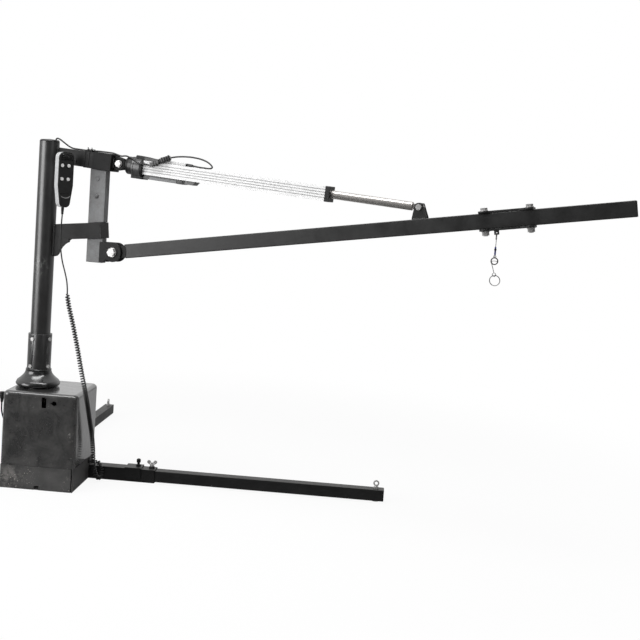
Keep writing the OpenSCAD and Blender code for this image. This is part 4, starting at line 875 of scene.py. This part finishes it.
def make_tie_tails():
    """The tails of the two cable ties, bent over a little as they rise."""
    outline = rounded_rect(3.0, 1.0, 0.4, 2)
    for k, x in enumerate(TIES_AT):
        x0 = x - ACT_PIVOT[0] + 2
        tail = loft(f"tie_tail_{k + 1}", [(t, outline) for t in (0, 2, 4, 6, 8)],
                    lambda t, a, b, x0=x0: upper(x0 + a, -11 + b - t * t / 40, 31 + t), MAT["black_plastic"])
        seat(tail, "mast")


def make_post_details():
    """The plug and the rivet on the near face of the post."""
    out = arm(0, -1, 0) - arm(0, 0, 0)
    plug = lathe("post_plug", arm(178.1, POST_FACE_Y, 1009.2), out,
                 [(-1, 0), (-1, 6.2), (0, 6.2), (0, 7.4), (1.0, 7.4), (1.8, 6.4), (1.8, 4.6), (1.2, 4.2),
                  (1.2, 0)], MAT["grey_coat"], 32)
    seat(plug, "mast")
    rivet = lathe("post_rivet", arm(177.4, POST_FACE_Y, 954), out,
                  [(-1, 0), (-1, 7.2), (0, 8.2), (0.6, 8.2), (2.2, 7.0), (3.6, 4.8), (4.4, 2.4), (4.6, 0)],
                  MAT["grey_coat"], 32)
    seat(rivet, "mast")


def make_pendant_panel():
    """The raised panel at the top of the hand control's face, rounded above."""
    def bow(y, first, last):
        turn = [math.radians(a) for a in range(first, last, 15)]
        return [(y + 13 * math.cos(a), 163 + 13 * math.sin(a)) for a in turn]

    arch = [(-22, 157), (22, 157), (22, 163)] + bow(9, 15, 91) + bow(-9, 90, 166) + [(-22, 163)]
    middle = 165.5

    def shrink(q):
        return [(y * q, middle + (z - middle) * q) for y, z in arch]

    steps = ((24.5, 1), (26.0, 1), (26.8, 0.94), (26.4, 0.86), (26.2, 0.80))
    panel = loft("pendant_panel", [(x, shrink(q)) for x, q in steps], pendant, MAT["gloss_plastic"])
    seat(panel, "mast")


def make_pendant_lines():
    """Rims round the buttons, the seam and the curved line low on the hand control's face."""
    gloss = MAT["gloss_plastic"]
    for k, (y, q) in enumerate(((-16, 0.765), (7, 0.765), (-16, 0.53), (7, 0.53))):
        rim = tube(f"button_rim_{k + 1}", hoop(pendant, (FACE_X + 0.1, y, PENDANT_H * q), 7.3, "yz"),
                   0.8 * MM, gloss, sides=8, closed=True)
        seat(rim, "mast")
    low = [pendant(FACE_X, y, 50) for y in (-20.5, -7, 7, 20.5)]
    seam = tube("pendant_seam", smooth_route(low, 12), 0.6 * MM, gloss, sides=8)
    seat(seam, "mast")
    dip = [pendant(FACE_X, y, 36 + 6 * (y / 17) ** 2) for y in (-17, -9, 0, 9, 17)]
    arc = tube("pendant_curve", smooth_route(dip, 24), 0.6 * MM, MAT["grey_line_and_groove_shade"], sides=8)
    seat(arc, "mast")


def make_gear_bands():
    """The gearcase's rear cap and the two bands round it."""
    axis = act(1, 0, 0) - act(0, 0, 0)
    back = lathe("gear_cap", act(0, 0, 0), axis,
                 [(29, 0), (29, 20), (31, 24.5), (35, 27.4), (40, 28.3), (48, 29.6), (53, 30.0), (53, 0)],
                 MAT["case_plastic"], 48)
    seat(back, "actuator")
    r, rim = 32.6, 32.0
    for k, (x0, x1) in enumerate(((53.6, 60.6), (61.6, 83.6))):
        band = lathe(f"gear_band_{k + 1}", act(0, 0, -3), axis,
                     [(x0, 0), (x0, rim), (x0 + 0.6, r), (x1 - 0.6, r), (x1, rim), (x1, 0)],
                     MAT["band_metal"], 56)
        seat(band, "actuator")


def make_motor_strip():
    """The motor strip's grey face, its dark stop and its slanted nose."""
    face = block("motor_strip_face", act, 116, 212, -18.0, 18.0, -35.2, -25.4, 1.2, MAT["strip_face"])
    seat(face, "actuator")
    stop = block("motor_strip_stop", act, 213, 233, -18.6, 18.6, -35.8, -22.2, 1.4, MAT["case_plastic"])
    seat(stop, "actuator")
    side = [(238.5, -22.4), (277, -22.6), (268, -33.6), (238.5, -33.6)]
    nose = loft("motor_strip_nose", [(y, side) for y in (-14.8, 14.8)], lambda t, a, b: act(a, t, b),
                MAT["band_metal"])
    seat(nose, "actuator")


def make_gear_top():
    """The block on the gearcase that falls off toward the tube."""
    sections = [(60, rounded_rect(30, 14, 3)), (62, rounded_rect(34, 16, 4)), (90, rounded_rect(36, 15, 3)),
                (126, rounded_rect(37, 10, 2)), (128, rounded_rect(35, 8, 2))]
    block_top = loft("gear_top_block", sections, lambda t, a, b: act(t, a, 27.6 - (t - 60) * 0.03 + b),
                     MAT["dull_black"])
    seat(block_top, "actuator")


def make_pale_lid():
    """The pale housing on the tube, with a row of ribs."""
    rib, gap = rounded_rect(19.6, 9.2, 2.0), rounded_rect(18.4, 8.2, 1.8)
    ribs, first, pitch, rib_len = 11, 146, 8.4, 6.6
    sections = [(first - 1.5, gap)]
    for k in range(ribs):
        x = first + k * pitch
        sections += [(x, rib), (x + rib_len, rib), (x + rib_len + 0.6, gap), (x + rib_len + 1.2, gap)]
    lid = loft("pale_lid", sections, lambda t, a, b: act(t, -10 + a, 26.2 + b), MAT["pale_housing"])
    seat(lid, "actuator")


def make_groove_shade_strips():
    """Grey strips along both sides of the extruded tube, as one piece: painted shade in its grooves."""
    bm = bmesh.new()
    # Each strip is painted groove shade, laid at a groove bottom
    strip = rounded_rect(0.5, 2.7, 0.1, 1)
    for z in (-12, -4, 4, 12):
        for y in (-20.95, 20.95):
            loft_into(bm, [(92.6, strip), (702, strip)], lambda t, a, b, z=z, y=y: act(t, y + a, z + b))
    seat(add_object("groove_shade_strips", bm, MAT["grey_line_and_groove_shade"]), "actuator")


def make_gusset():
    """The near gusset plate under the lower arm, with its ogee edge."""
    edge = [(31.3, 813), (91, 813), (91.8, 799), (84, 795.6), (76.4, 790.5), (66.3, 780.5), (59, 768.5),
            (54.4, 757.5), (48.5, 751), (39.5, 748.2), (31.3, 748)]
    slim = [(32 + (x - 32) * 0.985, 781 + (z - 781) * 0.985) for x, z in edge]
    plate = loft("lower_gusset_plate", [(-25.9, slim), (-25.2, edge), (-20.2, edge)],
                 lambda t, a, b: arm(a, t, b), MAT["arm_coat"])
    seat(plate, "mast")


def carved(obj, cutters):
    """Cuts the shapes away and keeps the result as the piece's own mesh."""
    for cutter in cutters:
        cut = obj.modifiers.new("cut", "BOOLEAN")
        cut.operation = "DIFFERENCE"
        cut.solver = "EXACT"
        cut.object = cutter
    mesh = bpy.data.meshes.new_from_object(obj.evaluated_get(bpy.context.evaluated_depsgraph_get()))
    obj.modifiers.clear()
    obj.data = mesh
    for cutter in cutters:
        bpy.data.objects.remove(cutter)


def make_cover():
    """The moulded cover: round edges, open below and round the mast, with its slot and key hole."""
    x0, x1, y0, y1, foot, top = -75.3, 169.3, -117.3, 121.3, 77.0, 316.0
    cx, cy, w, d = (x0 + x1) / 2, (y0 + y1) / 2, x1 - x0, y1 - y0
    edge, corner, wall, steps, opening = 14.0, 20.0, 3.0, 10, 42.0
    count = 4 * (steps + 1)

    def outline(inset, z):
        flat = rounded_rect(w - 2 * inset, d - 2 * inset, corner - inset, steps)
        return [world(cx + a, cy + b, z) for a, b in flat]

    def mouth(z):
        turn = [2 * math.pi * (i + 0.5) / count for i in range(count)]
        return [world(opening * math.cos(a), opening * math.sin(a), z) for a in turn]

    rings = [outline(0.8, foot), outline(0, foot + 0.8), outline(0, foot + 3), outline(0, top - edge)]
    for k in range(1, 10):
        a = math.radians(10 * k)
        rings.append(outline(edge * (1 - math.cos(a)), top - edge + edge * math.sin(a)))
    rings += [outline(edge + 2, top), mouth(top), mouth(top - wall), outline(edge, top - wall),
              outline(wall, top - edge), outline(wall, foot)]
    bm = bmesh.new()
    made = [[bm.verts.new(p) for p in ring] for ring in rings]
    for ra, rb in zip(made, made[1:] + made[:1]):
        bridge(bm, ra, rb)
    cover = add_object("cover_shell", bm, MAT["cover_skin"], sharp=math.radians(50))
    skin, deep, high = MAT["cover_skin"], (-140, -100), 286
    slot = loft("slot_cutter", [(y, rounded_rect(15, 34, 2.5, 4)) for y in deep],
                lambda t, a, b: world(62 + a, t, high + b), skin)
    key = lathe("key_cutter", world(95, -140, high), Vector((0, 1, 0)),
                [(0, 0), (0, 7.5), (40, 7.5), (40, 0)], skin, 36)
    ticks = loft("tick_cutter", [(y, rounded_rect(22, 3, 0.8, 3)) for y in deep],
                 lambda t, a, b: world(95 + a, t, high + b), skin)
    carved(cover, [slot, key, ticks])
    cover.modifiers.new("even", "WEIGHTED_NORMAL").keep_sharp = True
    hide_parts("cover")
    seat(cover, "base")


def make_bell():
    """The bell skirt, turned in fine steps."""
    profile = [(0.0, 38.4), (0.0, 40.2), (-0.8, 41.0), (-6, 41.3), (-7, 40.9), (-8, 41.4), (-10, 42.2)]
    profile += [(-10 - 30 * t, 42 + 27.2 * t ** 1.5) for t in [k / 18 for k in range(2, 18)]]
    lip = [math.radians(a) for a in range(36, -91, -9)]
    profile += [(-48 + 7 * math.sin(a), 64 + 7 * math.cos(a)) for a in lip]
    profile += [(-55, 60), (-47, 58), (-26, 44), (-20, 41.4), (-20, 38.4)]
    bm = bmesh.new()
    up = Vector((0, 0, 1))
    lathe_into(bm, world(0, 0, 375), up, [(t * MM, r * MM) for t, r in profile + profile[:1]], 96)
    bmesh.ops.remove_doubles(bm, verts=bm.verts, dist=1e-6)
    bell = add_object("bell", bm, MAT["bell_gloss"], sharp=math.radians(40))
    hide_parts("bell_skirt")
    seat(bell, "mast")


make_tether()
make_welds()
make_tie_tails()
make_post_details()
make_pendant_panel()
make_pendant_lines()
make_gear_bands()
make_motor_strip()
make_gear_top()
make_pale_lid()
make_groove_shade_strips()
make_gusset()
make_cover()
make_bell()

# Surroundings, in metres

BACKDROP_WAY = (-0.60, 0.75, 0.28)
FLOOR_HALF, FLOOR_DROP, FLOOR_MIDDLE = 14, 0.0008, (0.5, 0.1, 0)
LAMPS = (
    ("key", (-2.5, -2.0, 1.3), (0.1, 0, 0.7), (2.3, 2.4), 74),
    ("top", (0.9, -0.4, 3.2), (0.9, 0.2, 0.6), (3.0, 1.6), 8),
    ("strip", (0.5, -0.75, 2.7), (0.5, 0.0, 0.4), (3.0, 0.55), 44),
    ("fill", (3.2, -2.4, 1.4), (0.8, 0, 0.7), (1.6, 1.8), 4),
)


def light_world():
    """A pale backdrop behind and above the object, and a dim room behind the camera."""
    n = Nodes("studio", world=True)
    bpy.context.scene.world = n.data
    aim = n.node("ShaderNodeVectorMath", {0: n.coords, 1: BACKDROP_WAY}, operation="DOT_PRODUCT")
    height = n.node("ShaderNodeSeparateXYZ", {0: n.coords}).outputs[2]

    def shade(strength):
        return n.node("ShaderNodeBackground", {"Color": (1, 1, 1, 1), "Strength": strength}).outputs[0]

    def sky(lo, hi, horizon):
        side = n.ramp(aim.outputs["Value"], -0.45, 0.45, lo, hi)
        return shade(n.mul(side, n.ramp(height, -0.02, 0.16, horizon, 1.0)))

    rays = n.node("ShaderNodeLightPath").outputs
    shiny = n.most(rays["Is Glossy Ray"], rays["Is Transmission Ray"])
    lit = n.node("ShaderNodeMixShader", {0: shiny, 1: sky(0.18, 0.54, 0.68), 2: sky(0.06, 0.85, 0.24)})
    mix = n.node("ShaderNodeMixShader", {0: rays["Is Camera Ray"], 1: lit.outputs[0], 2: shade(1.0)})
    n.link(mix.outputs[0], n.out.inputs["Surface"])


def add_area(name, at, target, size, energy):
    """A white lamp at a place, turned to its target and unseen by the camera."""
    data = bpy.data.lights.new(name, "AREA")
    data.shape = "RECTANGLE"
    data.size, data.size_y = size
    data.energy = energy
    obj = bpy.data.objects.new(name, data)
    bpy.context.scene.collection.objects.link(obj)
    obj.location = at
    obj.rotation_euler = (Vector(target) - Vector(at)).to_track_quat("-Z", "Y").to_euler()
    obj.visible_camera = False


def make_floor():
    """A pale floor that fades into the backdrop away from the object and shows in shiny pieces."""
    bm = bmesh.new()
    s = FLOOR_HALF
    bm.faces.new([bm.verts.new((x, y, -FLOOR_DROP)) for x, y in ((-s, -s), (s, -s), (s, s), (-s, s))])
    n = Nodes("pale_floor")
    diffuse = n.node("ShaderNodeBsdfDiffuse", {"Color": n.mix(n.noise(3, 2.0), grey(0.86), grey(0.90))})
    rays = n.node("ShaderNodeLightPath").outputs
    shiny = n.most(rays["Is Glossy Ray"], rays["Is Transmission Ray"])
    depth = n.node("ShaderNodeSeparateXYZ", {0: n.coords}).outputs[1]
    level = n.most(rays["Is Camera Ray"], n.ramp(depth, -0.5, 0.7, 0.08, 0.46))
    glow = n.node("ShaderNodeEmission", {"Color": (1, 1, 1, 1), "Strength": level})
    away = n.node("ShaderNodeVectorMath", {0: n.coords, 1: FLOOR_MIDDLE}, operation="DISTANCE")
    seen = n.mul(rays["Is Camera Ray"], n.ramp(away.outputs["Value"], 1.0, 2.4, 0.90, 1.0))
    mix = n.node("ShaderNodeMixShader", {0: n.most(seen, shiny), 1: diffuse.outputs[0], 2: glow.outputs[0]})
    n.link(mix.outputs[0], n.out.inputs[0])
    add_object("floor", bm, n.data)


light_world()
make_floor()
for lamp in LAMPS:
    add_area(*lamp)

view = bpy.context.scene.view_settings
view.view_transform = "Standard"
